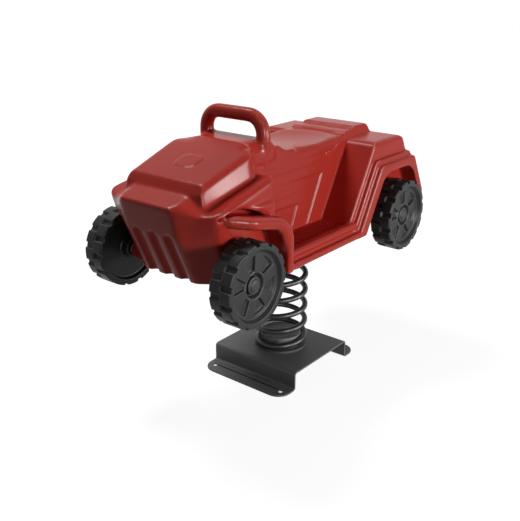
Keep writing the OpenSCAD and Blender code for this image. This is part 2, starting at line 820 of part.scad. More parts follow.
module footboard_ribs() {
    inner = saddle_w / 2 + rib_end_gap;
    outer = block_half - rim_w - rib_end_gap;
    both_sides() for (i = [0 : rib_count - 1])
        translate([rib_rear_x + i * rib_pitch, inner, floor_h - 1]) cube([rib_w, outer - inner, rib_t + 1]);
}
// Front fender strips: each runs out of the nose, over the wheel and down to the sill
strip_root_y = 34;
strip_nose_x = front_axle_x + 47;
strip_flare_x = front_axle_x - 8;
strip_out_r = 60;
strip_in_r = 40;
module front_strips() {
    bend_out = strip_bend(strip_out_x, strip_lean_out, front_arch_h + strip_t);
    bend_in = strip_bend(strip_in_x, strip_lean_in, front_arch_h);
    both_sides() intersection() {
        side_prism(core_half - strip_root_y, lip_half, rounded([
            [nose_x, strip_top(nose_x), 0], [bend_out[0], bend_out[1], strip_out_r],
            [strip_out_x, strip_knee_h, strip_out_r], [strip_out_x, 0, EDGE_S], [strip_in_x, 0, EDGE_S],
            [strip_in_x, strip_knee_h, strip_in_r], [bend_in[0], bend_in[1], strip_in_r],
            [nose_x, strip_low(nose_x), 0]
        ]));
        plan_prism(-1, OVER, rounded([
            [0, core_half - OVER / 4, 0], [strip_nose_x, core_half - OVER / 4, 0],
            [strip_nose_x, core_half, EDGE_L],
            [strip_flare_x, lip_half, strip_in_r], [0, lip_half, 0]
        ]));
    }
}

// Side panel: nested steps and a seam below the saddle
panel_low = 6;
wide_step_h = 179;
wide_step_rear = wall_x + 1;
wide_step_foot = wall_x + 63;
small_step_h = 114;
small_step_rear = handle_x - 141;
small_step_foot = handle_x - 115;
step_foot_h = 52;
crease_out = 6;
crease_turn = 0.45;
module side_step(depth, top, rear, foot) {
    half = saddle_w / 2;
    low = floor_h - panel_low;
    front = nose_rear_x + 10;
    side_prism(half - depth, half + 1, [
        [front, top], [rear, top - 3], [foot, step_foot_h], [foot + panel_low, low], [front, low]
    ]);
}
// Wedge that deepens towards the front, from nothing at its rear end
module side_crease(depth, rear, low, high) {
    run = nose_rear_x - rear;
    translate([rear, saddle_w / 2 - depth, 0]) rotate([0, 0, -crease_turn])
        side_prism(0, crease_out, [[0, low], [0, high], [run, high], [run, low]]);
}
module side_steps() {
    both_sides() {
        side_step(panel_step, wide_step_h, wide_step_rear, wide_step_foot);
        side_step(2 * panel_step, small_step_h, small_step_rear, small_step_foot);
        side_crease(0, wall_x - 45, wide_step_h - EDGE_L, wide_step_h + EDGE_L);
        side_crease(panel_step, wide_step_foot, small_step_h - EDGE_L, small_step_h + EDGE_L);
    }
}
seam_w = 4;
seam_depth = 3;
seam_drop = 34;
module saddle_seam() {
    difference() {
        side_prism(-OVER, OVER, ribbon([
            [nose_rear_x + 10, seat_h - seam_drop], [saddle_rear_x + 3 * seam_drop, seat_h - seam_drop],
            [saddle_rear_x + 2 * seam_drop, seat_h - 0.85 * seam_drop],
            [saddle_rear_x + seam_drop, seat_h - 0.35 * seam_drop], [saddle_rear_x, seat_h + seam_drop]
        ], seam_w));
        cross_prism(-OVER, OVER, saddle_section(seam_depth));
    }
}

// Body shell with its bores, recess and insert seats
bush_r = axle_d / 2 + slide_fit + bush_wall;
bush_flange_r = bush_r + 6;
// Boss that backs the front bushes, where the nose's corners are cut away
module axle_bosses() {
    both_sides() translate([front_axle_x, core_half - bush_l, axle_h]) rotate([-90, 0, 0])
        cylinder(r = bush_flange_r + EDGE_S, h = bush_l);
}
module body_shell() {
    color(RED) on_belly() difference() {
        union() {
            nose();
            axle_bosses();
            hood_cap();
            hood_pad();
            cowl();
            handle();
            difference() {
                saddle();
                saddle_seam();
                side_steps();
            }
            rear_block();
            rear_layer(1, lip_h + layer_rise);
            rear_layer(2, lip_h);
            footboards();
            footboard_ribs();
            front_strips();
        }
        nose_grooves();
        rear_arch_cut();
        translate([0, 0, -1]) plan_prism(0, mount_t + 1, mount_outline(2));
        at_mount_bolts() cylinder(r = insert_r + slide_fit, h = mount_t + insert_l + touch_gap);
        for (x = [front_axle_x, rear_axle_x]) translate([x, 0, axle_h]) {
            rotate([90, 0, 0]) cylinder(d = axle_d + 4 * hole_fit, h = 2 * OVER, center = true);
            both_sides() translate([0, core_half + OVER, 0]) rotate([90, 0, 0])
                cylinder(r = bush_r + slide_fit, h = OVER + bush_l);
        }
    }
}

// Running gear, built with the axle's direction as Z and the car's middle at z = 0
module at_axle(x, side) {
    translate([x, 0, axle_z]) rotate([-90 * side, 0, 0]) children();
}
hub_out = wheel_in + wheel_w - hub_set;
axle_end = hub_out + touch_gap + push_nut_t + 2;
module axle(x) {
    color(ZINC) at_axle(x, 1) cylinder(d = axle_d, h = 2 * axle_end, center = true);
}
module axle_bushes(x) {
    color(NYLON) for (side = [-1, 1]) at_axle(x, side) difference() {
        union() {
            translate([0, 0, core_half - bush_l]) cylinder(r = bush_r, h = bush_l + EPS);
            translate([0, 0, core_half]) cylinder(r = bush_flange_r, h = bush_flange_t);
        }
        cylinder(d = axle_d + 2 * slide_fit, h = OVER);
    }
}
module wheel_washers() {
    color(ZINC) for (x = [front_axle_x, rear_axle_x], side = [-1, 1]) at_axle(x, side)
        translate([0, 0, core_half + bush_flange_t + touch_gap]) difference() {
            cylinder(r = bush_r + 5, h = washer_t);
            translate([0, 0, -1]) cylinder(d = axle_d + 2 * slide_fit, h = washer_t + 2);
        }
}
module axle_push_nuts() {
    color(ZINC) for (x = [front_axle_x, rear_axle_x], side = [-1, 1]) at_axle(x, side)
        translate([0, 0, hub_out + touch_gap]) difference() {
            cylinder(d = 1.9 * axle_d, h = push_nut_t);
            translate([0, 0, -1]) cylinder(d = axle_d + 2 * slide_fit, h = push_nut_t + 2);
        }
}

// Wheel: a turned form whose rim is cut to two staggered rows of lugs
cap_seat_r = hub_r - hub_cap_wall;
shoulder_r = 4;
function tread_outline(shift) = [
    for (i = [0 : lug_count - 1], k = [0 : 3])
        let (
            step = 360 / lug_count,
            edge = [-lug_fill / 2, lug_fill / 2, lug_fill / 2 + 0.05, 1 - lug_fill / 2 - 0.05],
            a = step * (i + shift + edge[k]),
            r = k < 2 ? wheel_r + 2 : wheel_r - lug_depth
        )
        r * [cos(a), sin(a)]
];
function pocket_outline() =
    let (
        r0 = hub_r + 11,
        r1 = bead_r - 14,
        half = 180 / pocket_count - 13
    )
    rounded([
        [r0, -r0 * tan(half) * 0.6, 4], [r1, -r1 * tan(half), 8],
        [r1 + 4, 0, 60], [r1, r1 * tan(half), 8], [r0, r0 * tan(half) * 0.6, 4]
    ]);
module wheel(x, side) {
    back = wheel_in;
    face = wheel_in + wheel_w;
    disc = face - disc_set;
    color(RUBBER) at_axle(x, side) difference() {
        intersection() {
            rotate_extrude() polygon(rounded([
                [0, hub_in, 0], [hub_r, hub_in, 3], [hub_r, back + disc_back, EDGE_S],
                [bead_r, back + disc_back, EDGE_S],
                [bead_r, back, shoulder_r], [wheel_r, back, shoulder_r], [wheel_r, face, shoulder_r],
                [bead_r, face, shoulder_r], [bead_r - 5, disc, 3], [hub_r + 5, disc, 3],
                [hub_r, hub_out, 2], [0, hub_out, 0]
            ]));
            union() {
                translate([0, 0, hub_in - 1]) linear_extrude(back + wheel_w / 2 - hub_in + 1)
                    polygon(tread_outline(0));
                translate([0, 0, back + wheel_w / 2 - EPS]) linear_extrude(wheel_w)
                    polygon(tread_outline(0.5));
            }
        }
        for (i = [0 : pocket_count - 1]) rotate([0, 0, 360 * (i + 0.25) / pocket_count])
            translate([0, 0, disc - pocket_depth]) linear_extrude(wheel_w) polygon(pocket_outline());
        translate([0, 0, 1]) cylinder(d = axle_d + 2 * slide_fit, h = OVER);
    }
}
// Hub cap: a shallow dome with a lip, over the push nut
cap_lift = push_nut_t + 4;
module hub_cap(x, side) {
    r = cap_seat_r;
    cap_top = hub_out + cap_lift;
    color(RUBBER) at_axle(x, side) rotate_extrude() polygon(rounded([
        [r - hub_cap_wall, hub_out, 0], [r, hub_out, 0], [r, cap_top, 2.5], [r - 7, cap_top + 4, 2],
        [0, cap_top + 4, 0], [0, cap_top, 0], [r - hub_cap_wall, cap_top, 0]
    ]));
}

ground_plate();
lower_place() seat_ring();  // lower_seat_ring
lower_place() spring_cup(lower_first, -coil_bolt_step);  // lower_spring_cup
lower_place() coil_bolt_set(lower_first, -coil_bolt_step);  // lower_coil_bolts
lower_place() coil_nut_set(lower_first, -coil_bolt_step);  // lower_coil_nuts
spring();
upper_place() seat_ring();  // upper_seat_ring
upper_place() spring_cup(upper_first, coil_bolt_step);  // upper_spring_cup
upper_place() coil_bolt_set(upper_first, coil_bolt_step);  // upper_coil_bolts
upper_place() coil_nut_set(upper_first, coil_bolt_step);  // upper_coil_nuts
mount_plate();
mount_washers();
mount_bolts();
body_inserts();
body_shell();
axle(front_axle_x);  // front_axle
axle(rear_axle_x);  // rear_axle
axle_bushes(front_axle_x);  // axle_bushes_front
axle_bushes(rear_axle_x);  // axle_bushes_rear
wheel_washers();
axle_push_nuts();
wheel(front_axle_x, 1);  // front_left_wheel
wheel(front_axle_x, -1);  // front_right_wheel
wheel(rear_axle_x, 1);  // rear_left_wheel
wheel(rear_axle_x, -1);  // rear_right_wheel
hub_cap(front_axle_x, 1);  // front_left_hub_cap
hub_cap(front_axle_x, -1);  // front_right_hub_cap
hub_cap(rear_axle_x, 1);  // rear_left_hub_cap
hub_cap(rear_axle_x, -1);  // rear_right_hub_cap
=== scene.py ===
"""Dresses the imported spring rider: a soft-edged moulded car body, lugged wheels, a coil and a ground plate.

Sizes are in metres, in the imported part's frame: +X forward, +Y to the rider's left, +Z up.
The origin is on the ground, on the spring's axis.
"""

import logging
import math
from dataclasses import dataclass, field
from enum import Enum

import bmesh
import bpy
import numpy as np
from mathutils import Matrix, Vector

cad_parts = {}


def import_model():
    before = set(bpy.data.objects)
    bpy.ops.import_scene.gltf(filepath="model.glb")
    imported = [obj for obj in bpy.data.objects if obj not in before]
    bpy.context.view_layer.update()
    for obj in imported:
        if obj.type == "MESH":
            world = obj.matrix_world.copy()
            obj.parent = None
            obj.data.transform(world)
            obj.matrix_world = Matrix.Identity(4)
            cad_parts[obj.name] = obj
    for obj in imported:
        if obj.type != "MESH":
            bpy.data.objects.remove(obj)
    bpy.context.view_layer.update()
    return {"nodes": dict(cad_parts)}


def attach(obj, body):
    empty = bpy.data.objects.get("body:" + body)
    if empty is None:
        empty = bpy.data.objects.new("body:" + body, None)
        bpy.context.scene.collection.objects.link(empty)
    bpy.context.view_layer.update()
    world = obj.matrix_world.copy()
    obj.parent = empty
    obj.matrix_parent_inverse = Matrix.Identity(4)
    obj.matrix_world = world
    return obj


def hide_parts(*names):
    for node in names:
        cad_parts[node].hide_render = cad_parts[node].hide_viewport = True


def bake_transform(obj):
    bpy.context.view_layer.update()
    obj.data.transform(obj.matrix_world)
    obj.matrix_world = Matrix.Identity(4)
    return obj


LOG = logging.getLogger("spring_rider")
MM = 0.001
AXLE_HEIGHT = 427.53 * MM
BELLY = 405.53 * MM
WELD_GAP = 0.001 * MM
SHORTEST_EDGE = 0.01 * MM
EDGE_REACH = 4 * MM

Span = tuple[float, float]
Point = tuple[float, float, float]


class Side(Enum):
    """The two sides of the car; the value is the sign of Y."""

    LEFT = 1
    RIGHT = -1


class AxlePlace(Enum):
    """The two axles; the value is the axle's X."""

    FRONT = 400 * MM
    REAR = -280 * MM


# Meshes


def smoothstep(low: float, high: float, value: np.ndarray) -> np.ndarray:
    """Cubic ramp 3t^2 - 2t^3 that goes from 0 at low to 1 at high.

    Args:
        low: value at which the ramp starts.
        high: value at which the ramp ends; it may be below low, for a falling ramp.
        value: array of values.

    Returns:
        Array of the same shape, between 0 and 1.
    """
    t = np.clip((value - low) / (high - low), 0.0, 1.0)
    return t * t * (3.0 - 2.0 * t)


def bell(points: np.ndarray, middle: Point, reach: Point) -> np.ndarray:
    """Bell curve round a point: e to the minus squared distance, with each axis measured in its own reach.

    Args:
        points: points of shape (n, 3).
        middle: point where the curve is 1.
        reach: distance along each axis at which it has fallen to 1 / e.

    Returns:
        Array of shape (n,), between 0 and 1.
    """
    away = (points - np.array(middle)) / np.array(reach)
    return np.exp(-(away**2).sum(1))


def grid_quads(rows: int, cols: int, wrap_rows: bool, wrap_cols: bool) -> np.ndarray:
    """Corner numbers of the quads of a grid of points, each quad joining a point to its next row and column.

    Args:
        rows: number of rows of points.
        cols: number of columns of points.
        wrap_rows: whether the last row joins the first.
        wrap_cols: whether the last column joins the first.

    Returns:
        Integer array of shape (quads, 4).
    """
    r, c = np.meshgrid(
        np.arange(rows if wrap_rows else rows - 1), np.arange(cols if wrap_cols else cols - 1), indexing="ij"
    )
    r2, c2 = (r + 1) % rows, (c + 1) % cols
    return np.stack([r * cols + c, r2 * cols + c, r2 * cols + c2, r * cols + c2], axis=-1).reshape(-1, 4)


def signed_volume(points: np.ndarray, quads: np.ndarray) -> float:
    """Volume inside a closed surface of quads, from its tetrahedra to the origin; negative if inside out."""
    a, b, c, d = (points[quads[:, k]] for k in range(4))
    return float((np.cross(a, b) * c).sum() + (np.cross(a, c) * d).sum()) / 6.0


def make_object(name: str, points: np.ndarray, quads: np.ndarray) -> bpy.types.Object:
    """Puts a closed surface into a new mesh object at the origin, smooth shaded, with its faces outwards.

    Args:
        name: name of the piece.
        points: array of shape (n, 3).
        quads: array of shape (m, 4).

    Returns:
        The new object, linked to the scene.
    """
    if signed_volume(points, quads) < 0:
        quads = quads[:, ::-1]
    mesh = bpy.data.meshes.new(name)
    mesh.vertices.add(len(points))
    mesh.vertices.foreach_set("co", points.astype(np.float32).ravel())
    mesh.loops.add(quads.size)
    mesh.loops.foreach_set("vertex_index", quads.astype(np.int32).ravel())
    mesh.polygons.add(len(quads))
    mesh.polygons.foreach_set("loop_start", np.arange(0, quads.size, 4, dtype=np.int32))
    mesh.update(calc_edges=True)
    mesh.validate()
    weld(mesh)
    mesh.shade_smooth()
    obj = bpy.data.objects.new(name, mesh)
    bpy.context.scene.collection.objects.link(obj)
    return obj


def weld(mesh: bpy.types.Mesh) -> None:
    """Merges the points of a mesh that lie at one place, which closes its poles and seams.

    Args:
        mesh: the mesh, which is changed.
    """
    work = bmesh.new()
    work.from_mesh(mesh)
    bmesh.ops.remove_doubles(work, verts=work.verts, dist=WELD_GAP)
    work.to_mesh(mesh)
    work.free()


def turned(profile: np.ndarray, steps: int) -> tuple[np.ndarray, np.ndarray]:
    """Surface of revolution of a closed profile (radius, along) about Z: (r cos a, r sin a, along).

    Args:
        profile: array of shape (n, 2), a closed loop or one that ends on the axis at both ends.
        steps: number of steps round the axis.

    Returns:
        Points of shape (steps * n, 3) and quads.
    """
    a = np.linspace(0.0, 2.0 * np.pi, steps, endpoint=False)[:, None]
    r, w = profile[None, :, 0], profile[None, :, 1]
    points = np.stack([r * np.cos(a), r * np.sin(a), np.broadcast_to(w, (steps, len(profile)))], axis=-1)
    return points.reshape(-1, 3), grid_quads(steps, len(profile), True, True)


def rounded_loop(corners: list[Point], arc_steps: int = 6) -> np.ndarray:
    """Closed loop whose corners (a, b, radius) are replaced by arcs tangent to both sides.

    Args:
        corners: the loop's corners in order, each with its radius.
        arc_steps: number of steps in an arc.

    Returns:
        Array of shape (n, 2).
    """
    loop = []
    count = len(corners)
    for i, (x, y, radius) in enumerate(corners):
        at = np.array([x, y])
        if radius == 0:
            loop.append(at[None])
            continue
        u = np.array(corners[i - 1][:2]) - at
        v = np.array(corners[(i + 1) % count][:2]) - at
        u, v = u / np.linalg.norm(u), v / np.linalg.norm(v)
        half = math.acos(float(np.clip(u @ v, -1, 1))) / 2
        mid = at + (u + v) / np.linalg.norm(u + v) * radius / math.sin(half)
        start = at + u * radius / math.tan(half) - mid
        sweep = math.copysign(math.pi - 2 * half, u[1] * v[0] - u[0] * v[1])
        t = np.linspace(0.0, sweep, arc_steps + 1)
        first = start[0] * np.cos(t) - start[1] * np.sin(t)
        second = start[0] * np.sin(t) + start[1] * np.cos(t)
        loop.append(mid + np.stack([first, second], -1))
    return np.concatenate(loop)


def refined_loop(loop: np.ndarray, longest: float) -> np.ndarray:
    """Closed loop with points added along its long sides.

    Args:
        loop: array of shape (n, 2).
        longest: longest side that stays as it is.

    Returns:
        Array of shape (m, 2).
    """
    out = []
    for p, q in zip(loop, np.roll(loop, -1, axis=0)):
        parts = max(1, math.ceil(np.linalg.norm(q - p) / longest))
        t = np.arange(parts)[:, None] / parts
        out.append(p + (q - p) * t)
    return np.concatenate(out)


def cad_copy(solid: bpy.types.Object, name: str) -> bpy.types.Object:
    """Copies a CAD node's mesh and welds the copy; the node itself stays as it is.

    Args:
        solid: the CAD node.
        name: name of the piece.

    Returns:
        The new object, linked to the scene.
    """
    obj = bpy.data.objects.new(name, solid.data.copy())
    bpy.context.scene.collection.objects.link(obj)
    weld(obj.data)
    obj.data.materials.clear()
    return obj


def evaluated(obj: bpy.types.Object) -> None:
    """Replaces an object's mesh by its mesh with all modifiers applied.

    Args:
        obj: the object, which is changed.
    """
    mesh = bpy.data.meshes.new_from_object(obj.evaluated_get(bpy.context.evaluated_depsgraph_get()))
    obj.modifiers.clear()
    obj.data = mesh


def read_points(mesh: bpy.types.Mesh, what: str = "co") -> np.ndarray:
    """Reads the points of a mesh, or their normals.

    Args:
        mesh: the mesh.
        what: co for the places, normal for the normals.

    Returns:
        Array of shape (n, 3).
    """
    values = np.empty(len(mesh.vertices) * 3, np.float32)
    mesh.vertices.foreach_get(what, values)
    return values.reshape(-1, 3).astype(np.float64)


def write_points(mesh: bpy.types.Mesh, points: np.ndarray) -> None:
    """Moves the points of a mesh to an array of shape (n, 3)."""
    mesh.vertices.foreach_set("co", points.astype(np.float32).ravel())
    mesh.update()


def read_edges(mesh: bpy.types.Mesh) -> np.ndarray:
    """Reads the edges of a mesh.

    Args:
        mesh: the mesh.

    Returns:
        Array of shape (n, 2), with the numbers of each edge's two points.
    """
    ends = np.empty(len(mesh.edges) * 2, np.int32)
    mesh.edges.foreach_get("vertices", ends)
    return ends.reshape(-1, 2)


def neighbour_mean(values: np.ndarray, edges: np.ndarray) -> np.ndarray:
    """Mean of each point's neighbours along its edges.

    Args:
        values: array of shape (n, k).
        edges: array of shape (m, 2).

    Returns:
        Array of shape (n, k).
    """
    n = len(values)
    a, b = edges[:, 0], edges[:, 1]
    degree = np.bincount(a, minlength=n) + np.bincount(b, minlength=n)
    totals = []
    for column in values.T:
        forward = np.bincount(a, weights=column[b], minlength=n)
        backward = np.bincount(b, weights=column[a], minlength=n)
        totals.append(forward + backward)
    return np.stack(totals, axis=-1) / np.maximum(degree, 1)[:, None]


def mark_edges(mesh: bpy.types.Mesh, least: float = 0.0, share: np.ndarray | float = 1.0) -> None:
    """Writes the edge attribute, which places the painted edge highlight: how far each point stands out of
    its neighbours' mean along its normal.

    That distance over the square of the local edge length is about a quarter of the curvature.
    It is multiplied by EDGE_REACH, so a bend with a quarter of that as its radius counts as a full edge.

    Args:
        mesh: a mesh with smooth normals.
        least: what is taken off first, so that broad curves are no edges.
        share: factor on the rest before it is cut off at 1, for each point or for all.
    """
    points, edges = read_points(mesh), read_edges(mesh)
    away = ((points - neighbour_mean(points, edges)) * read_points(mesh, "normal")).sum(1)
    length = np.linalg.norm(points[edges[:, 0]] - points[edges[:, 1]], axis=1)
    count = np.maximum(np.bincount(edges[:, 0], minlength=len(points)), 1)
    mean_length = np.bincount(edges[:, 0], weights=length, minlength=len(points)) / count
    local = np.maximum(neighbour_mean(mean_length[:, None], edges)[:, 0], SHORTEST_EDGE)
    bend = away / local**2 * EDGE_REACH
    mark = mesh.attributes.new("edge", "FLOAT", "POINT")
    mark.data.foreach_set("value", np.clip((bend - least) * share, 0.0, 1.0).astype(np.float32))


# Finishes


def node(tree: bpy.types.NodeTree, kind: str, **values: object) -> bpy.types.Node:
    """Adds a shader node and sets its properties or, by name with spaces as underscores, its inputs.

    Args:
        tree: the material's or world's node tree.
        kind: type of the node.
        values: properties or inputs to set.

    Returns:
        The new node.
    """
    made = tree.nodes.new(kind)
    for key, value in values.items():
        if hasattr(made, key):
            setattr(made, key, value)
        else:
            made.inputs[key.replace("_", " ")].default_value = value
    return made


@dataclass(frozen=True)
class Finish:
    """A coloured surface with mottled colour, a fine grain, uneven gloss and, where asked for, a highlight
    painted along its edges.

    Attributes:
        name: material name.
        colour: linear base colour.
        mottle: share by which the colour varies over the surface.
        mottle_scale: noise scale of that variation, per metre.
        roughness: lowest and highest roughness.
        grain_scale: noise scale of the grain, per metre.
        grain_depth: height of the grain, in metres.
        specular: specular level.
        metallic: how metallic the surface is.
        highlight_colour: colour of the highlight painted along convex edges.
        highlight_strength: how strongly that painted highlight shows; 0 reads no edge attribute.
        highlight_noise_scale: noise scale that breaks the painted highlight up, per metre.
    """

    name: str
    colour: Point
    mottle: float = 0.06
    mottle_scale: float = 14.0
    roughness: Span = (0.38, 0.46)
    grain_scale: float = 900.0
    grain_depth: float = 0.00004
    specular: float = 0.5
    metallic: float = 0.0
    highlight_colour: Point = (0.5, 0.5, 0.5)
    highlight_strength: float = 0.0
    highlight_noise_scale: float = 70.0

    def material(self) -> bpy.types.Material:
        """Builds the material, or gives the one already built.

        Returns:
            The material with its node tree.
        """
        known = bpy.data.materials.get(self.name)
        if known:
            return known
        material = bpy.data.materials.new(self.name)
        material.use_nodes = True
        tree = material.node_tree
        tree.nodes.clear()
        link = tree.links.new
        out = node(tree, "ShaderNodeOutputMaterial")
        shader = node(tree, "ShaderNodeBsdfPrincipled")
        shader.inputs["Metallic"].default_value = self.metallic
        shader.inputs["Specular IOR Level"].default_value = self.specular
        place = node(tree, "ShaderNodeTexCoord").outputs["Object"]
        cloud = node(tree, "ShaderNodeTexNoise", Scale=self.mottle_scale, Detail=4.0, Roughness=0.6)
        link(place, cloud.inputs["Vector"])
        shade = node(tree, "ShaderNodeMix", data_type="RGBA")
        shade.inputs["A"].default_value = (*(c * (1 - self.mottle) for c in self.colour), 1)
        shade.inputs["B"].default_value = (*(c * (1 + self.mottle) for c in self.colour), 1)
        link(cloud.outputs["Fac"], shade.inputs["Factor"])
        colour = shade.outputs["Result"]
        if self.highlight_strength:
            colour = self._paint_edge_highlight(tree, colour, place)
        link(colour, shader.inputs["Base Color"])
        gloss = node(tree, "ShaderNodeMapRange")
        gloss.inputs["To Min"].default_value, gloss.inputs["To Max"].default_value = self.roughness
        link(cloud.outputs["Fac"], gloss.inputs["Value"])
        link(gloss.outputs["Result"], shader.inputs["Roughness"])
        grain = node(tree, "ShaderNodeTexNoise", Scale=self.grain_scale, Detail=2.0)
        link(place, grain.inputs["Vector"])
        bump = node(tree, "ShaderNodeBump", Strength=1.0, Distance=self.grain_depth)
        link(grain.outputs["Fac"], bump.inputs["Height"])
        link(bump.outputs["Normal"], shader.inputs["Normal"])
        link(shader.outputs["BSDF"], out.inputs["Surface"])
        return material

    def _paint_edge_highlight(
        self, tree: bpy.types.NodeTree, colour: bpy.types.NodeSocket, place: bpy.types.NodeSocket
    ) -> bpy.types.NodeSocket:
        """Mixes in a painted highlight colour where the edge attribute, broken up by a noise, is high.

        Args:
            tree: the material's node tree.
            colour: colour before the painted highlight.
            place: object coordinates.

        Returns:
            Colour with the painted highlight.
        """
        link = tree.links.new
        edge = node(tree, "ShaderNodeAttribute", attribute_name="edge")
        highlight_noise = node(tree, "ShaderNodeTexNoise", Scale=self.highlight_noise_scale, Detail=5.0, Roughness=0.7)
        link(place, highlight_noise.inputs["Vector"])
        amount = node(tree, "ShaderNodeMath", operation="MULTIPLY")
        link(edge.outputs["Fac"], amount.inputs[0])
        link(highlight_noise.outputs["Fac"], amount.inputs[1])
        share = node(tree, "ShaderNodeMath", operation="MULTIPLY", use_clamp=True)
        link(amount.outputs["Value"], share.inputs[0])
        share.inputs[1].default_value = self.highlight_strength
        mix = node(tree, "ShaderNodeMix", data_type="RGBA")
        mix.inputs["B"].default_value = (*self.highlight_colour, 1)
        link(share.outputs["Value"], mix.inputs["Factor"])
        link(colour, mix.inputs["A"])
        return mix.outputs["Result"]

    def dress(self, *objects: bpy.types.Object) -> None:
        """Gives this finish to objects, in place of any other.

        Args:
            objects: the objects to dress.
        """
        material = self.material()
        for obj in objects:
            if obj.data.materials:
                for i in range(len(obj.data.materials)):
                    obj.data.materials[i] = material
            else:
                obj.data.materials.append(material)


# Its pale edge colour is a highlight painted along the body's convex edges.
RED_PLASTIC = Finish(
    "red_moulded_plastic", (0.46, 0.034, 0.023), mottle=0.05, mottle_scale=9.0, roughness=(0.23, 0.29),
    grain_scale=1400.0, grain_depth=0.00002, specular=0.09, highlight_colour=(0.92, 0.42, 0.37), highlight_strength=0.8,
)
# Its lighter edge colour paints glints on the lugs' edges.
WHEEL_PLASTIC = Finish(
    "dark_wheel_plastic", (0.031, 0.031, 0.032), mottle=0.10, mottle_scale=22.0, roughness=(0.34, 0.44),
    grain_scale=1100.0, grain_depth=0.00004, specular=0.12, highlight_colour=(0.24, 0.24, 0.24), highlight_strength=0.7,
)
CAP_PLASTIC = Finish(
    "dark_cap_plastic", (0.030, 0.030, 0.031), mottle=0.08, mottle_scale=30.0, roughness=(0.48, 0.58),
    grain_scale=1100.0, specular=0.16,
)
POWDER_COAT = Finish(
    "dark_powder_coat", (0.094, 0.094, 0.095), mottle=0.10, mottle_scale=18.0, roughness=(0.48, 0.60),
    grain_scale=700.0, grain_depth=0.00007, specular=0.42,
)
SPRING_COAT = Finish(
    "dark_spring_coat", (0.026, 0.026, 0.027), mottle=0.10, mottle_scale=26.0, roughness=(0.34, 0.44),
    grain_scale=800.0, grain_depth=0.00005, specular=0.35,
)
DARK_NYLON = Finish("dark_nylon", (0.032, 0.032, 0.033), roughness=(0.5, 0.6), grain_scale=900.0)
PALE_NYLON = Finish("pale_nylon", (0.55, 0.54, 0.50), roughness=(0.42, 0.52), grain_scale=900.0)
BLACK_OXIDE = Finish(
    "black_oxide_steel", (0.060, 0.060, 0.063), mottle=0.15, mottle_scale=90.0, roughness=(0.36, 0.5),
    grain_scale=1600.0, grain_depth=0.00002, metallic=0.6,
)
ZINC_PLATE = Finish(
    "zinc_plated_steel", (0.50, 0.51, 0.53), mottle=0.10, mottle_scale=120.0, roughness=(0.28, 0.42),
    grain_scale=1500.0, grain_depth=0.00002, metallic=1.0,
)


# Sub-assemblies


@dataclass(frozen=True)
class Softness:
    """Shares of the smoothing that the parts of the moulding take.

    Attributes:
        rest: what has no share of its own.
        nose: what lies in front of the footwells.
        saddle: seat and handle.
        panel: sides under the seat.
        footboard: floors of the footwells.
        grille: grooves in the front.
        cap: raised cap on the hood.
        pad: raised pad on that cap.
        strip: fender strips over the front wheels.
        under: lower edge of the nose.
    """

    rest: float = 0.20
    nose: float = 0.85
    saddle: float = 0.8
    panel: float = 0.05
    footboard: float = 0.07
    grille: float = 0.30
    cap: float = 0.32
    pad: float = 0.05
    strip: float = 0.50
    under: float = 0.15


@dataclass(frozen=True)
class Limits:
    """Where those parts lie, with Y taken without its sign and Z above the belly.

    A single number is a plain limit. A pair named length is two plain limits.
    Any other pair is a ramp from outside the part to inside it.

    Attributes:
        nose_rear: X of the nose.
        saddle_foot, saddle_side, saddle_rear, saddle_front: Z, Y and X of the saddle.
        panel_side, panel_top, panel_length: Y, Z and X of the side panels.
        footboard_top, footboard_length: Z and X of the footboards.
        grille_rear, grille_side, grille_top: X, Y and Z of the grille.
        cap_foot, cap_side, cap_rear: height over the deck, Y and X of the hood's cap.
        pad_side, pad_end: Y of the pad, and X from its middle.
        strip_side, strip_top, strip_rear: Y, Z and X of the fender strips.
        under_top: Z of the nose's lower edge.
        swell_side, swell_top, swell_rear, swell_foot: Y, Z, X and lower Z of what grows on the strips.
        highlight_nose, highlight_front: X at which the painted edge highlight of the nose, and of its front,
            sets in.
    """

    nose_rear: Span = (228 * MM, 246 * MM)
    saddle_foot: Span = (236 * MM, 246 * MM)
    saddle_side: Span = (118 * MM, 108 * MM)
    saddle_rear: Span = (-150 * MM, -120 * MM)
    saddle_front: float = 240 * MM
    panel_side: Span = (120 * MM, 110 * MM)
    panel_top: Span = (246 * MM, 236 * MM)
    panel_length: Span = (-180 * MM, 236 * MM)
    footboard_top: float = 52 * MM
    footboard_length: Span = (-60 * MM, 215 * MM)
    grille_rear: float = 430 * MM
    grille_side: float = 80 * MM
    grille_top: float = 150 * MM
    cap_foot: Span = (0.0, 6 * MM)
    cap_side: Span = (145 * MM, 138 * MM)
    cap_rear: float = 250 * MM
    pad_side: Span = (40 * MM, 36 * MM)
    pad_end: Span = (38 * MM, 33 * MM)
    strip_side: Span = (164 * MM, 170 * MM)
    strip_top: Span = (190 * MM, 180 * MM)
    strip_rear: float = 228 * MM
    under_top: Span = (16 * MM, 6 * MM)
    swell_side: Span = (160 * MM, 184 * MM)
    swell_top: Span = (190 * MM, 176 * MM)
    swell_rear: Span = (228 * MM, 250 * MM)
    swell_foot: Span = (40 * MM, 90 * MM)
    highlight_nose: Span = (215 * MM, 240 * MM)
    highlight_front: Span = (455 * MM, 480 * MM)


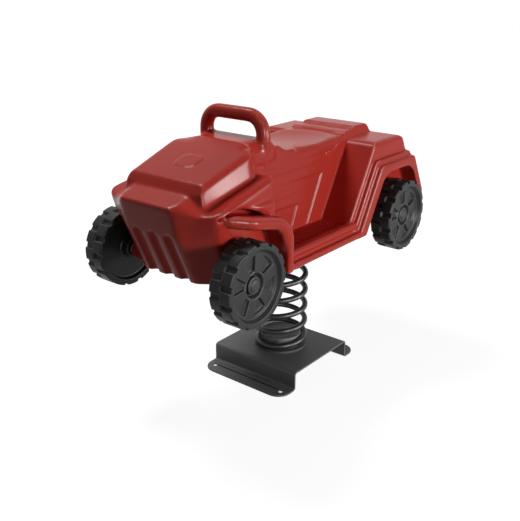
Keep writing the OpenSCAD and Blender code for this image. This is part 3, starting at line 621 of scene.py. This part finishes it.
@dataclass
class CarBody:
    """The one-piece moulded car body, as a skin over the CAD solid with its edges and inner corners rounded.

    Attributes:
        cell: size of the cells that the solid is sampled in.
        rounds: number of smoothing rounds.
        pull: share of the way to its neighbours' mean that a point of full softness goes in a round.
        triangles: most triangles that the skin keeps.
        nose_x: where the deck starts at the front.
        nose_height: height of the deck there, above the belly.
        hood_slope: slope of the deck.
        pad_x: middle of the raised pad on the hood.
        strip_swell: how far the fender strips grow back out after the smoothing, which thins them.
        corner: middle of the nose's upper corner, with its height above the belly.
        corner_swell: how far that corner fills out sideways.
        corner_reach: distances over which that fades.
        cowl_corner: middle of the cowl's upper corner behind the hood, with its height above the belly.
        cowl_drop: how far that corner sinks.
        cowl_reach: distances over which that fades.
        highlight_factors: factors on the painted edge highlight of the rear, of the nose and of its front.
        broad: bend that is still no edge.
        share: shares of the smoothing.
        at: limits of the parts that take them.
    """

    cell: float = 2.1 * MM
    quick_cell: float = 3.4 * MM
    rounds: int = 44
    pull: float = 0.55
    triangles: int = 190_000
    nose_x: float = 514 * MM
    nose_height: float = 199 * MM
    hood_slope: float = math.radians(18)
    pad_x: float = 365 * MM
    strip_swell: float = 6.5 * MM
    corner: Point = (466 * MM, 166 * MM, 172 * MM)
    corner_swell: float = 17 * MM
    corner_reach: Point = (44 * MM, 38 * MM, 54 * MM)
    cowl_corner: Point = (250 * MM, 106 * MM, 304 * MM)
    cowl_drop: float = 9 * MM
    cowl_reach: Point = (30 * MM, 30 * MM, 40 * MM)
    # Factors on the painted edge highlight of the rear, the nose and its front.
    highlight_factors: Point = (6.0, 1.2, 0.3)
    broad: float = 0.1
    share: Softness = Softness()
    at: Limits = Limits()

    def softness(self, points: np.ndarray) -> np.ndarray:
        """Share of the smoothing at each point: most on nose, seat and handle, least on the side panels.

        Each part is a product of ramps and plain limits along the axes. Nose and saddle raise the share.
        Panels, footboards and grille set it. The other parts mix their own share in.

        Args:
            points: array of shape (n, 3).

        Returns:
            Array of shape (n,), between 0 and 1.
        """
        share, at = self.share, self.at
        x, y, z = points[:, 0], np.abs(points[:, 1]), points[:, 2] - BELLY
        soft = np.full(len(points), share.rest)
        nose = smoothstep(*at.nose_rear, x)
        soft = np.maximum(soft, share.nose * nose)
        saddle = smoothstep(*at.saddle_foot, z) * smoothstep(*at.saddle_side, y) * (x < at.saddle_front)
        soft = np.maximum(soft, share.saddle * saddle * smoothstep(*at.saddle_rear, x))
        panel = smoothstep(*at.panel_side, y) * smoothstep(*at.panel_top, z)
        panel = panel * (x > at.panel_length[0]) * (x < at.panel_length[1])
        soft = np.where(panel > 0.5, share.panel, soft)
        floor = (z < at.footboard_top) & (x > at.footboard_length[0]) & (x < at.footboard_length[1])
        soft = np.where(floor, share.footboard, soft)
        grille = (x > at.grille_rear) & (y < at.grille_side) & (z < at.grille_top)
        soft = np.where(grille, share.grille, soft)
        over_deck = z - (self.nose_height + (self.nose_x - x) * np.tan(self.hood_slope))
        cap = smoothstep(*at.cap_foot, over_deck) * smoothstep(*at.cap_side, y) * (x > at.cap_rear)
        soft = soft + (share.cap - soft) * cap
        pad = smoothstep(*at.pad_side, y) * smoothstep(*at.pad_end, np.abs(x - self.pad_x))
        soft = soft + (share.pad - soft) * pad * cap
        strip = smoothstep(*at.strip_side, y) * smoothstep(*at.strip_top, z) * (x > at.strip_rear)
        soft = soft + (share.strip - soft) * strip
        under = smoothstep(*at.under_top, z) * nose
        return soft + (share.under - soft) * under

    def swelling(self, points: np.ndarray, normals: np.ndarray) -> np.ndarray:
        """Shift of each point after the smoothing.

        The strips grow along their normals by a share that rises from 0 to 1 across their edges.
        The upper corners of the nose move sideways and those of the cowl sink, each by a bell curve of the
        distance from the corner's middle.

        Args:
            points: array of shape (n, 3).
            normals: their normals, of the same shape.

        Returns:
            Shifts of the same shape.
        """
        at = self.at
        x, y, z = points[:, 0], np.abs(points[:, 1]), points[:, 2] - BELLY
        strip = smoothstep(*at.swell_side, y) * smoothstep(*at.swell_top, z)
        strip = strip * smoothstep(*at.swell_rear, x) * smoothstep(*at.swell_foot, z)
        shift = normals * (self.strip_swell * strip)[:, None]
        local = np.stack([x, y, z], 1)
        aside = np.sign(points[:, 1]) * self.corner_swell
        shift[:, 1] += aside * bell(local, self.corner, self.corner_reach)
        shift[:, 2] -= self.cowl_drop * bell(local, self.cowl_corner, self.cowl_reach)
        return shift

    def edge_share(self, points: np.ndarray) -> np.ndarray:
        """Factor on the painted edge highlight at each point: most on the rear layers, least on the front of
        the nose.

        Args:
            points: array of shape (n, 3).

        Returns:
            Array of shape (n,).
        """
        rear, nose, front = self.highlight_factors
        from_nose = smoothstep(*self.at.highlight_nose, points[:, 0])
        from_front = smoothstep(*self.at.highlight_front, points[:, 0])
        return rear + (nose - rear) * from_nose + (front - nose) * from_front

    def build(self, solid: bpy.types.Object) -> bpy.types.Object:
        """Samples the solid in cells, then moves each point towards its neighbours' mean, round after round.

        Strips and corners then shift, and the mesh is thinned to the stated number of triangles.

        Args:
            solid: the CAD node of the body.

        Returns:
            The skin.
        """
        cell = self.cell
        skin = cad_copy(solid, "car_body_skin")
        cells = skin.modifiers.new("cells", "REMESH")
        cells.mode = "VOXEL"
        cells.voxel_size = cell
        evaluated(skin)
        mesh = skin.data
        points, edges = read_points(mesh), read_edges(mesh)
        step = self.pull * self.softness(points)[:, None]
        for _ in range(round(self.rounds * (self.cell / cell) ** 2)):
            points += step * (neighbour_mean(points, edges) - points)
        write_points(mesh, points)
        points += self.swelling(points, read_points(mesh, "normal"))
        write_points(mesh, points)
        faces = len(mesh.loops) - 2 * len(mesh.polygons)
        if faces > self.triangles:
            thin = skin.modifiers.new("thin", "DECIMATE")
            thin.ratio = self.triangles / faces
            evaluated(skin)
        skin.data.shade_smooth()
        # The edge attribute places the painted highlight along the body's edges.
        mark_edges(skin.data, least=self.broad, share=self.edge_share(read_points(skin.data)))
        return skin


@dataclass
class LuggedWheel:
    """A moulded wheel with two staggered rows of lugs, a dished disc with pockets, and a hub.

    Attributes:
        radius: outer radius.
        width: width over the tread.
        inner: distance of the inner face from the car's middle.
        hub_inner: distance of the hub's inner end from the car's middle.
        bore: radius of the axle's bore.
        hub: radius of the hub.
        rim: inner radius of the rim.
        disc_back: distance of the disc's back from the inner face.
        disc_depth: depth of the disc's front under the outer face.
        disc_radius: radius at which the disc's front meets the rim.
        well_radius: radius of the well that holds the cap, at its mouth; its floor is as wide as the hub.
        well_depth: depth of that well under the outer face.
        lugs: lugs in each row.
        lug_depth: depth of the gaps between lugs.
        lug_fill: share of a lug's pitch that the lug fills.
        lug_flank: share of the pitch that each flank takes.
        lug_spare: how far the limit stays clear of the tread on a lug.
        pockets: pockets between the spokes.
        pocket_depth: depth of the pockets.
        pocket_turn: share of their pitch that the pockets are turned by.
        pocket_span: radii between which they widen.
        pocket_half: their half widths at these radii.
        pocket_slope: half the width of their sloped sides.
        pocket_start: ramp of their inner end.
        pocket_end: ramp of their outer end.
        face: depths under the outer face between which the pockets start to act.
        longest: longest step along the section.
        height: height of the axles.
        steps: steps round the axle.
    """

    radius: float = 101.5 * MM
    width: float = 60 * MM
    inner: float = 179 * MM
    hub_inner: float = 168.1 * MM
    bore: float = 6.05 * MM
    hub: float = 25 * MM
    rim: float = 84.2 * MM
    disc_back: float = 12 * MM
    disc_depth: float = 10 * MM
    disc_radius: float = 79.5 * MM
    well_radius: float = 31 * MM
    well_depth: float = 20 * MM
    lugs: int = 14
    lug_depth: float = 7 * MM
    lug_fill: float = 0.62
    lug_flank: float = 0.055
    lug_spare: float = 2 * MM
    pockets: int = 6
    pocket_depth: float = 7 * MM
    pocket_turn: float = 0.25
    pocket_span: Span = (34 * MM, 72 * MM)
    pocket_half: Span = (6.5 * MM, 20.5 * MM)
    pocket_slope: float = 1.6 * MM
    pocket_start: Span = (34.5 * MM, 37.5 * MM)
    pocket_end: Span = (73.0 * MM, 69.5 * MM)
    face: Span = (12 * MM, 10.5 * MM)
    longest: float = 1.8 * MM
    height: float = AXLE_HEIGHT
    steps: int = 392

    def profile(self) -> np.ndarray:
        """Closed section (radius, distance from the inner face) of the wheel, lugs and pockets apart.

        Returns:
            Array of shape (n, 2).
        """
        r, w, bore, hub, rim = (v / MM for v in (self.radius, self.width, self.bore, self.hub, self.rim))
        hub_end, back = (self.hub_inner - self.inner) / MM, self.disc_back / MM
        front, floor = w - self.disc_depth / MM, w - self.well_depth / MM
        # Each corner is a radius, a distance and a rounding, in millimetres.
        loop = rounded_loop(
            [
                (bore, hub_end, 0), (hub, hub_end, 2), (hub, back, 4), (rim, back, 5), (rim, 0, 3),
                (r - 2, 0, 2), (r, 3, 2.5), (r, w - 3, 2.5), (r - 2, w, 2), (86, w, 3), (rim, w - 3, 2),
                (self.disc_radius / MM, front, 4), (self.well_radius / MM, front, 4), (hub, floor, 2),
                (bore, floor, 0),
            ]
        )
        return refined_loop(loop, self.longest / MM) * MM

    def lug_limit(self, angle: np.ndarray, along: np.ndarray) -> np.ndarray:
        """Largest radius at each point: the full one on a lug, and lug_depth less in the gaps.

        The two rows are half a pitch apart.

        Args:
            angle: angle round the axle.
            along: distance from the inner face.

        Returns:
            Array of radii.
        """
        row = np.where(along > self.width / 2, 0.5, 0.0)
        phase = (angle * self.lugs / (2 * np.pi) - row) % 1.0
        off = np.abs(phase - np.round(phase))
        gap = smoothstep(self.lug_fill / 2, self.lug_fill / 2 + self.lug_flank, off)
        return self.radius + self.lug_spare - gap * (self.lug_depth + self.lug_spare)

    def pocket(self, angle: np.ndarray, radius: np.ndarray) -> np.ndarray:
        """Depth of the pockets: wedges between the spokes, with sloped walls and round corners.

        Args:
            angle: angle round the axle.
            radius: distance from the axle.

        Returns:
            Array of depths.
        """
        phase = (angle * self.pockets / (2 * np.pi) - self.pocket_turn) % 1.0
        aside = np.abs(phase - np.round(phase)) * 2 * np.pi / self.pockets * radius
        half = np.interp(radius, self.pocket_span, self.pocket_half)
        across = smoothstep(half + self.pocket_slope, half - self.pocket_slope, aside)
        inner = smoothstep(*self.pocket_start, radius)
        outer = smoothstep(*self.pocket_end, radius)
        return self.pocket_depth * across * inner * outer

    def build(self, name: str, axle: AxlePlace, side: Side) -> bpy.types.Object:
        """Turns the section about the axle on a grid of angles, then pulls gaps and pockets in.

        Args:
            name: name of the piece.
            axle: the axle that the wheel runs on.
            side: the side of the car.

        Returns:
            The wheel in place.
        """
        section = self.profile()
        a = np.linspace(0, 2 * np.pi, self.steps, endpoint=False)[:, None]
        r = np.broadcast_to(section[:, 0], (self.steps, len(section)))
        w = np.broadcast_to(section[:, 1], (self.steps, len(section)))
        r = np.minimum(r, self.lug_limit(a, w))
        on_face = smoothstep(self.width - self.face[0], self.width - self.face[1], w)
        w = w - self.pocket(a, r) * on_face
        x, y, z = axle.value + r * np.sin(a), side.value * (self.inner + w), self.height + r * np.cos(a)
        points = np.stack([x, y, z], -1).reshape(-1, 3)
        wheel = make_object(name, points, grid_quads(self.steps, len(section), True, True))
        # The edge attribute places painted glints along the lugs' edges.
        mark_edges(wheel.data)
        return wheel


@dataclass
class HubCap:
    """A shallow cap over the end of an axle: a dome with a ring groove and a lip.

    Attributes:
        radius: outer radius.
        seat: distance of the cap's foot from the car's middle.
        rise: height of the dome over its foot.
        wall: thickness of the lip.
        height: height of the axles.
        steps: steps round the axle.
    """

    radius: float = 22 * MM
    seat: float = 219 * MM
    rise: float = 12 * MM
    wall: float = 3 * MM
    height: float = AXLE_HEIGHT
    steps: int = 96

    def build(self, name: str, axle: AxlePlace, side: Side) -> bpy.types.Object:
        """Turns the cap's section about the axle.

        Args:
            name: name of the piece.
            axle: the axle that the cap closes.
            side: the side of the car.

        Returns:
            The cap in place.
        """
        r, h, t = self.radius / MM, self.rise / MM, self.wall / MM
        # Each corner is a radius, a height and a rounding, in millimetres.
        loop = rounded_loop(
            [
                (r - t, 0, 0), (r, 0, 0.6), (r, h - 4.5, 2.5), (r - 4.5, h - 2.6, 1.5), (r - 6, h - 3.6, 0.8),
                (r - 8, h - 1.4, 1.5), (r - 15, h, 6), (0, h, 0), (0, h - 4, 0), (r - t, h - 4, 1),
            ]
        )
        points, quads = turned(loop * MM, self.steps)
        x, z = axle.value + points[:, 0], self.height + points[:, 1]
        y = side.value * (self.seat + points[:, 2])
        return make_object(name, np.stack([x, y, z], -1), quads)


class CoilHalf(Enum):
    """The coil's two halves."""

    LOWER = 0
    UPPER = 1


@dataclass
class CoilSpring:
    """The coil: a round wire along a helix whose end turns are level.

    Attributes:
        radius: radius of the wire's middle line.
        wire: radius of the wire.
        low: height of the lowest turn's middle line.
        pitch: rise of one turn.
        rising: turns that rise.
        level: level turns at each end.
        rise_start: bearing at which the coil starts to rise.
        ease: turns over which the level end turns into the rise.
        tip: turns that the bevel of a wire's end takes.
        taper: share of the wire's radius that the end face keeps.
        sides: sides of the wire.
        steps: steps in a turn.
    """

    radius: float = 69 * MM
    wire: float = 8 * MM
    low: float = 70.3 * MM
    pitch: float = 47.9 * MM
    rising: float = 6.7
    level: float = 0.6
    rise_start: float = math.radians(5)
    ease: float = 0.12
    tip: float = 0.0025
    taper: float = 0.86
    sides: int = 20
    steps: int = 56

    def rise(self, turn: np.ndarray) -> np.ndarray:
        """Height gained after some turns: none on level ends, the pitch per turn between, with eased bends.

        Args:
            turn: turns from the coil's lower end.

        Returns:
            Array of heights above the lowest turn.
        """

        def ramp(t: np.ndarray) -> np.ndarray:
            """Integral of a linear step of width 2 ease: 0 before, t after, a parabola between."""
            e = self.ease
            return np.where(t < -e, 0.0, np.where(t > e, t, (t + e) ** 2 / (4 * e)))

        return self.pitch * (ramp(turn - self.level) - ramp(turn - self.level - self.rising))

    def build(self, half: CoilHalf) -> bpy.types.Object:
        """Carries the wire's circle along half of the helix, with a bevelled end.

        Args:
            half: which half of the coil.

        Returns:
            That half as a closed tube.
        """
        total = self.rising + 2 * self.level
        ends = [(0.0, total / 2), (total / 2, total)][half.value]
        count = int(self.steps * total / 2) + 1
        turn = np.linspace(*ends, count)
        shrink = np.ones(count)
        turn = np.concatenate([[turn[0]] * 2, turn, [turn[-1]] * 2])
        shrink = np.concatenate([[0.0, self.taper], shrink, [self.taper, 0.0]])
        turn[2] += self.tip if half is CoilHalf.LOWER else 0.0
        turn[-3] -= self.tip if half is CoilHalf.UPPER else 0.0
        a = self.rise_start + 2 * np.pi * (turn - self.level)
        centre = np.stack([self.radius * np.cos(a), self.radius * np.sin(a), self.low + self.rise(turn)], -1)
        out = np.stack([np.cos(a), np.sin(a), np.zeros_like(a)], -1)
        little = 1e-4
        gained = self.rise(turn + little) - self.rise(turn - little)
        slope = gained / (2 * little * 2 * np.pi * self.radius)
        along = np.stack([-np.sin(a), np.cos(a), slope], -1)
        along /= np.linalg.norm(along, axis=1, keepdims=True)
        up = np.cross(out, along)
        b = np.linspace(0, 2 * np.pi, self.sides, endpoint=False)[None, :, None]
        ring = self.wire * (np.cos(b) * out[:, None] + np.sin(b) * up[:, None])
        points = centre[:, None] + ring * shrink[:, None, None]
        name = "coil_lower_half" if half is CoilHalf.LOWER else "coil_upper_half"
        return make_object(name, points.reshape(-1, 3), grid_quads(len(turn), self.sides, False, True))

    def middle(self) -> float:
        """Height of the middle of the coil."""
        return self.low + self.pitch * self.rising / 2

    def top(self) -> float:
        """Height of the highest turn's middle line."""
        return self.low + self.pitch * self.rising


@dataclass
class SpringCup:
    """A pressed steel cup inside an end turn of the coil, with a rounded rim.

    Attributes:
        radius: outer radius.
        height: height of the cup.
        wall: thickness of the sheet.
        rim: rounding of the rim.
        steps: steps round the axis.
    """

    radius: float = 59.5 * MM
    height: float = 38.42 * MM
    wall: float = 4 * MM
    rim: float = 5.0 * MM
    steps: int = 128

    def build(self, name: str, seat: float, direction: int) -> bpy.types.Object:
        """Turns the cup's section about the spring's axis.

        Args:
            name: name of the piece.
            seat: height of the plate that the cup stands on.
            direction: 1 if it stands upwards, -1 if it hangs.

        Returns:
            The cup in place.
        """
        r, h, t, e = (v / MM for v in (self.radius, self.height, self.wall, self.rim))
        # Each corner is a radius, a height and a rounding, in millimetres.
        loop = rounded_loop(
            [
                (r - t, 0, 0), (r, 0, 0.5), (r, h, e), (14, h, 2), (11, h - 2, 2), (0, h - 2, 0),
                (0, h - t, 0), (r - t, h - t, 1.5),
            ]
        )
        points, quads = turned(loop * MM, self.steps)
        points[:, 2] = seat + direction * points[:, 2]
        return make_object(name, points, quads)


@dataclass
class SteelPlate:
    """A bent or flat steel plate: the CAD solid with its sheet edges eased.

    Attributes:
        ease: width of the bevel on its edges.
        sharp: angle from which an edge is eased.
        face_weight: how far the large faces rule the normals at the bevels.
    """

    ease: float = 0.9 * MM
    sharp: float = math.radians(40)
    face_weight: int = 100

    def build(self, name: str, solid: bpy.types.Object) -> bpy.types.Object:
        """Copies the solid, bevels its sharp edges and levels the normals of its faces.

        Args:
            name: name of the piece.
            solid: the CAD node.

        Returns:
            The eased plate.
        """
        plate = cad_copy(solid, name)
        plate.data.shade_smooth()
        bevel = plate.modifiers.new("ease", "BEVEL")
        bevel.width = self.ease
        bevel.segments = 2
        bevel.limit_method = "ANGLE"
        bevel.angle_limit = self.sharp
        level = plate.modifiers.new("level", "WEIGHTED_NORMAL")
        level.mode = "FACE_AREA"
        level.weight = self.face_weight
        evaluated(plate)
        return plate


# Studio


@dataclass
class Lamp:
    """A soft rectangular lamp that faces a point of the object.

    Attributes:
        name: name of the lamp.
        place: where it hangs.
        size: its width and height.
        watts: its power.
        aim: the point that it faces.
        gloss_only: True if it shows in gloss and lights no matte surface.
    """

    name: str
    place: Point
    size: Span
    watts: float
    aim: Point = (0.0, 0.0, 0.45)
    gloss_only: bool = False

    def build(self) -> None:
        """Adds the lamp to the scene."""
        data = bpy.data.lights.new(self.name, "AREA")
        data.shape = "RECTANGLE"
        data.size, data.size_y = self.size
        data.energy = self.watts
        lamp = bpy.data.objects.new(self.name, data)
        lamp.location = self.place
        lamp.visible_diffuse = not self.gloss_only
        lamp.rotation_euler = (Vector(self.aim) - Vector(self.place)).to_track_quat("-Z", "Y").to_euler()
        bpy.context.scene.collection.objects.link(lamp)


@dataclass
class Studio:
    """Pale floor, white surroundings, soft lamps and the camera.

    Attributes:
        lamps: the lamps.
        ambient: strength of the even light from all round.
        floor_reach: half the side of the floor.
        floor_grey: share of the light that the floor gives back.
        floor_glow: share of white that the floor shows by itself under the object.
        glow_reach: distances from the object between which that share rises to 1.
        camera_place: where the camera stands.
        azimuth: bearing of the camera, from -Y towards +X.
        elevation: angle at which it looks down.
        focal_px: focal length in pixels of the photograph.
        frame_px: the photograph's longer side in pixels.
        sensor: width of the sensor in millimetres.
        clip: farthest distance that the camera shows.
    """

    lamps: list[Lamp] = field(
        default_factory=lambda: [
            Lamp("side_lamp", (-0.08, 3.0, 0.75), (0.6, 0.6), 54.0),
            Lamp("rear_gleam_lamp", (-1.24, 2.85, 0.58), (0.6, 0.6), 125.0, gloss_only=True),
            Lamp("top_lamp", (0.24, -1.3, 3.1), (0.9, 0.9), 56.0),
            Lamp("front_lamp", (2.6, 0.9, 2.4), (1.4, 1.4), 0.8),
            Lamp("front_gleam_lamp", (1.50, 2.75, 0.95), (0.6, 0.9), 120.0, gloss_only=True),
        ]
    )
    ambient: float = 0.045
    floor_reach: float = 30.0
    floor_grey: float = 0.26
    floor_glow: float = 0.90
    glow_reach: Span = (0.8, 2.2)
    camera_place: Point = (1.5992, 1.2096, 1.0830)
    azimuth: float = math.radians(128.88)
    elevation: float = math.radians(20.98)
    focal_px: float = 750.53
    frame_px: float = 521.0
    sensor: float = 36.0
    clip: float = 100.0

    def build(self) -> None:
        """Builds floor, world, lamps and camera."""
        scene = bpy.context.scene
        scene.view_settings.view_transform = "Standard"
        self._floor()
        self._world()
        for lamp in self.lamps:
            lamp.build()
        self._camera()

    def _seen(self, tree: bpy.types.NodeTree) -> bpy.types.NodeSocket:
        """Socket that is 1 for rays that show the background, directly or in gloss or glass, and 0 otherwise.

        Args:
            tree: the node tree that asks.

        Returns:
            The socket.
        """
        path = node(tree, "ShaderNodeLightPath")
        first = node(tree, "ShaderNodeMath", operation="MAXIMUM")
        second = node(tree, "ShaderNodeMath", operation="MAXIMUM")
        tree.links.new(path.outputs["Is Camera Ray"], first.inputs[0])
        tree.links.new(path.outputs["Is Glossy Ray"], first.inputs[1])
        tree.links.new(first.outputs["Value"], second.inputs[0])
        tree.links.new(path.outputs["Is Transmission Ray"], second.inputs[1])
        return second.outputs["Value"]

    def _floor(self) -> None:
        """Lays a large pale floor that keeps the object's shadow."""
        mesh = bpy.data.meshes.new("floor")
        far = self.floor_reach
        mesh.from_pydata([(-far, -far, 0), (far, -far, 0), (far, far, 0), (-far, far, 0)], [], [(0, 1, 2, 3)])
        floor = bpy.data.objects.new("floor", mesh)
        bpy.context.scene.collection.objects.link(floor)
        material = bpy.data.materials.new("pale_floor")
        material.use_nodes = True
        tree = material.node_tree
        tree.nodes.clear()
        out = node(tree, "ShaderNodeOutputMaterial")
        matte = node(tree, "ShaderNodeBsdfDiffuse", Color=(*[self.floor_grey] * 3, 1))
        glow = node(tree, "ShaderNodeEmission", Color=(1, 1, 1, 1))
        strength = node(tree, "ShaderNodeMath", operation="MULTIPLY")
        far_off = node(tree, "ShaderNodeVectorMath", operation="LENGTH")
        tree.links.new(node(tree, "ShaderNodeTexCoord").outputs["Object"], far_off.inputs[0])
        glow_level = node(tree, "ShaderNodeMapRange")
        glow_level.inputs["From Min"].default_value = self.glow_reach[0]
        glow_level.inputs["From Max"].default_value = self.glow_reach[1]
        glow_level.inputs["To Min"].default_value = self.floor_glow
        tree.links.new(far_off.outputs["Value"], glow_level.inputs["Value"])
        tree.links.new(self._seen(tree), strength.inputs[0])
        tree.links.new(glow_level.outputs["Result"], strength.inputs[1])
        tree.links.new(strength.outputs["Value"], glow.inputs["Strength"])
        both = node(tree, "ShaderNodeAddShader")
        tree.links.new(matte.outputs["BSDF"], both.inputs[0])
        tree.links.new(glow.outputs["Emission"], both.inputs[1])
        tree.links.new(both.outputs["Shader"], out.inputs["Surface"])
        floor.data.materials.append(material)

    def _world(self) -> None:
        """Gives an even soft light from all round, and white where the surroundings are seen."""
        world = bpy.data.worlds.new("studio")
        bpy.context.scene.world = world
        world.use_nodes = True
        tree = world.node_tree
        tree.nodes.clear()
        out = node(tree, "ShaderNodeOutputWorld")
        back = node(tree, "ShaderNodeBackground", Color=(1, 1, 1, 1))
        level = node(tree, "ShaderNodeMapRange")
        level.inputs["To Min"].default_value = self.ambient
        level.inputs["To Max"].default_value = 1.0
        tree.links.new(self._seen(tree), level.inputs["Value"])
        tree.links.new(level.outputs["Result"], back.inputs["Strength"])
        tree.links.new(back.outputs["Background"], out.inputs["Surface"])

    def _camera(self) -> None:
        """Sets the camera where the photograph was taken from."""
        data = bpy.data.cameras.new("camera")
        data.sensor_width = self.sensor
        data.lens = self.focal_px * data.sensor_width / self.frame_px
        data.clip_end = self.clip
        camera = bpy.data.objects.new("camera", data)
        across, rise = math.cos(self.elevation), math.sin(self.elevation)
        back = Vector((math.sin(self.azimuth) * across, -math.cos(self.azimuth) * across, rise))
        camera.location = self.camera_place
        camera.rotation_euler = (-back).to_track_quat("-Z", "Y").to_euler()
        bpy.context.scene.collection.objects.link(camera)
        bpy.context.scene.camera = camera


# Assembly


@dataclass
class SpringRider:
    """The whole rider: builds each sub-assembly, putting most on their CAD bodies, and dresses what the CAD
    already shapes.

    Attributes:
        nodes: the CAD nodes by name.
        plate_top: height of the ground plate's top, which the lower cup stands on.
    """

    nodes: dict[str, bpy.types.Object]
    plate_top: float = 56 * MM

    def place(self, piece: bpy.types.Object, body: str, slot: str, finish: Finish, *replaced: str) -> None:
        """Dresses a piece and puts it on its body in place of CAD nodes.

        Args:
            piece: the new piece.
            body: the CAD body that it moves with.
            slot: the record's material slot; not used.
            finish: its finish.
            replaced: the CAD nodes that it stands for.
        """
        finish.dress(piece)
        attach(piece, body)
        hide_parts(*replaced)
        LOG.info("%s: %d faces on %s", piece.name, len(piece.data.polygons), body)

    def car_body(self) -> None:
        """Builds the moulded body."""
        self.place(CarBody().build(self.nodes["body_shell"]), "rider", "body", RED_PLASTIC, "body_shell")

    def running_gear(self) -> None:
        """Builds the four wheels and their caps."""
        for axle in AxlePlace:
            for side in Side:
                key = f"{axle.name.lower()}_{side.name.lower()}"
                body = f"wheel_{key}"
                wheel = LuggedWheel().build(f"{key}_lugged_wheel", axle, side)
                self.place(wheel, body, "wheel", WHEEL_PLASTIC, f"{key}_wheel")
                cap = HubCap().build(f"{key}_domed_cap", axle, side)
                self.place(cap, body, "hub_cap", CAP_PLASTIC, f"{key}_hub_cap")

    def coil(self) -> None:
        """Builds the coil in two halves."""
        spring = CoilSpring()
        spans = {
            CoilHalf.LOWER: ("base", "coil", spring.low, spring.middle()),
            CoilHalf.UPPER: ("coil", "rider", spring.middle(), spring.top()),
        }
        for half, (below, above, start, end) in spans.items():
            piece = spring.build(half)
            SPRING_COAT.dress(piece)
            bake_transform(piece)
            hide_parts("spring")
            LOG.info("%s: %d faces from %s to %s", piece.name, len(piece.data.polygons), below, above)

    def steelwork(self) -> None:
        """Builds the eased ground plate and the two spring cups."""
        plate = SteelPlate().build("ground_plate_eased", self.nodes["ground_plate"])
        self.place(plate, "base", "coated_steel", POWDER_COAT, "ground_plate")
        lower = SpringCup().build("lower_cup_pressed", self.plate_top, 1)
        self.place(lower, "base", "coated_steel", POWDER_COAT, "lower_spring_cup")
        upper = SpringCup().build("upper_cup_pressed", BELLY, -1)
        self.place(upper, "rider", "coated_steel", POWDER_COAT, "upper_spring_cup")

    def hardware(self) -> None:
        """Dresses the CAD nodes that stay as they are."""
        finishes = {
            POWDER_COAT: ["mount_plate"],
            DARK_NYLON: ["lower_seat_ring", "upper_seat_ring"],
            PALE_NYLON: ["axle_bushes_front", "axle_bushes_rear"],
            ZINC_PLATE: ["front_axle", "rear_axle"],
            BLACK_OXIDE: [
                "lower_coil_bolts", "lower_coil_nuts", "upper_coil_bolts", "upper_coil_nuts", "mount_washers",
                "mount_bolts", "body_inserts", "wheel_washers", "axle_push_nuts",
            ],
        }
        for finish, names in finishes.items():
            finish.dress(*(self.nodes[n] for n in names))
            LOG.info("%s: %s", finish.name, ", ".join(names))


def corners(box: tuple[Vector, Vector]) -> list[list[float]]:
    """A box as plain lists of numbers."""
    return [list(map(float, c)) for c in box]


def main() -> None:
    """Builds the studio and the rider."""
    logging.basicConfig(level=logging.INFO, format="%(name)s: %(message)s")
    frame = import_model()
    Studio().build()
    rider = SpringRider(frame["nodes"])
    rider.car_body()
    rider.running_gear()
    rider.coil()
    rider.steelwork()
    rider.hardware()


if __name__ == "__main__":
    main()
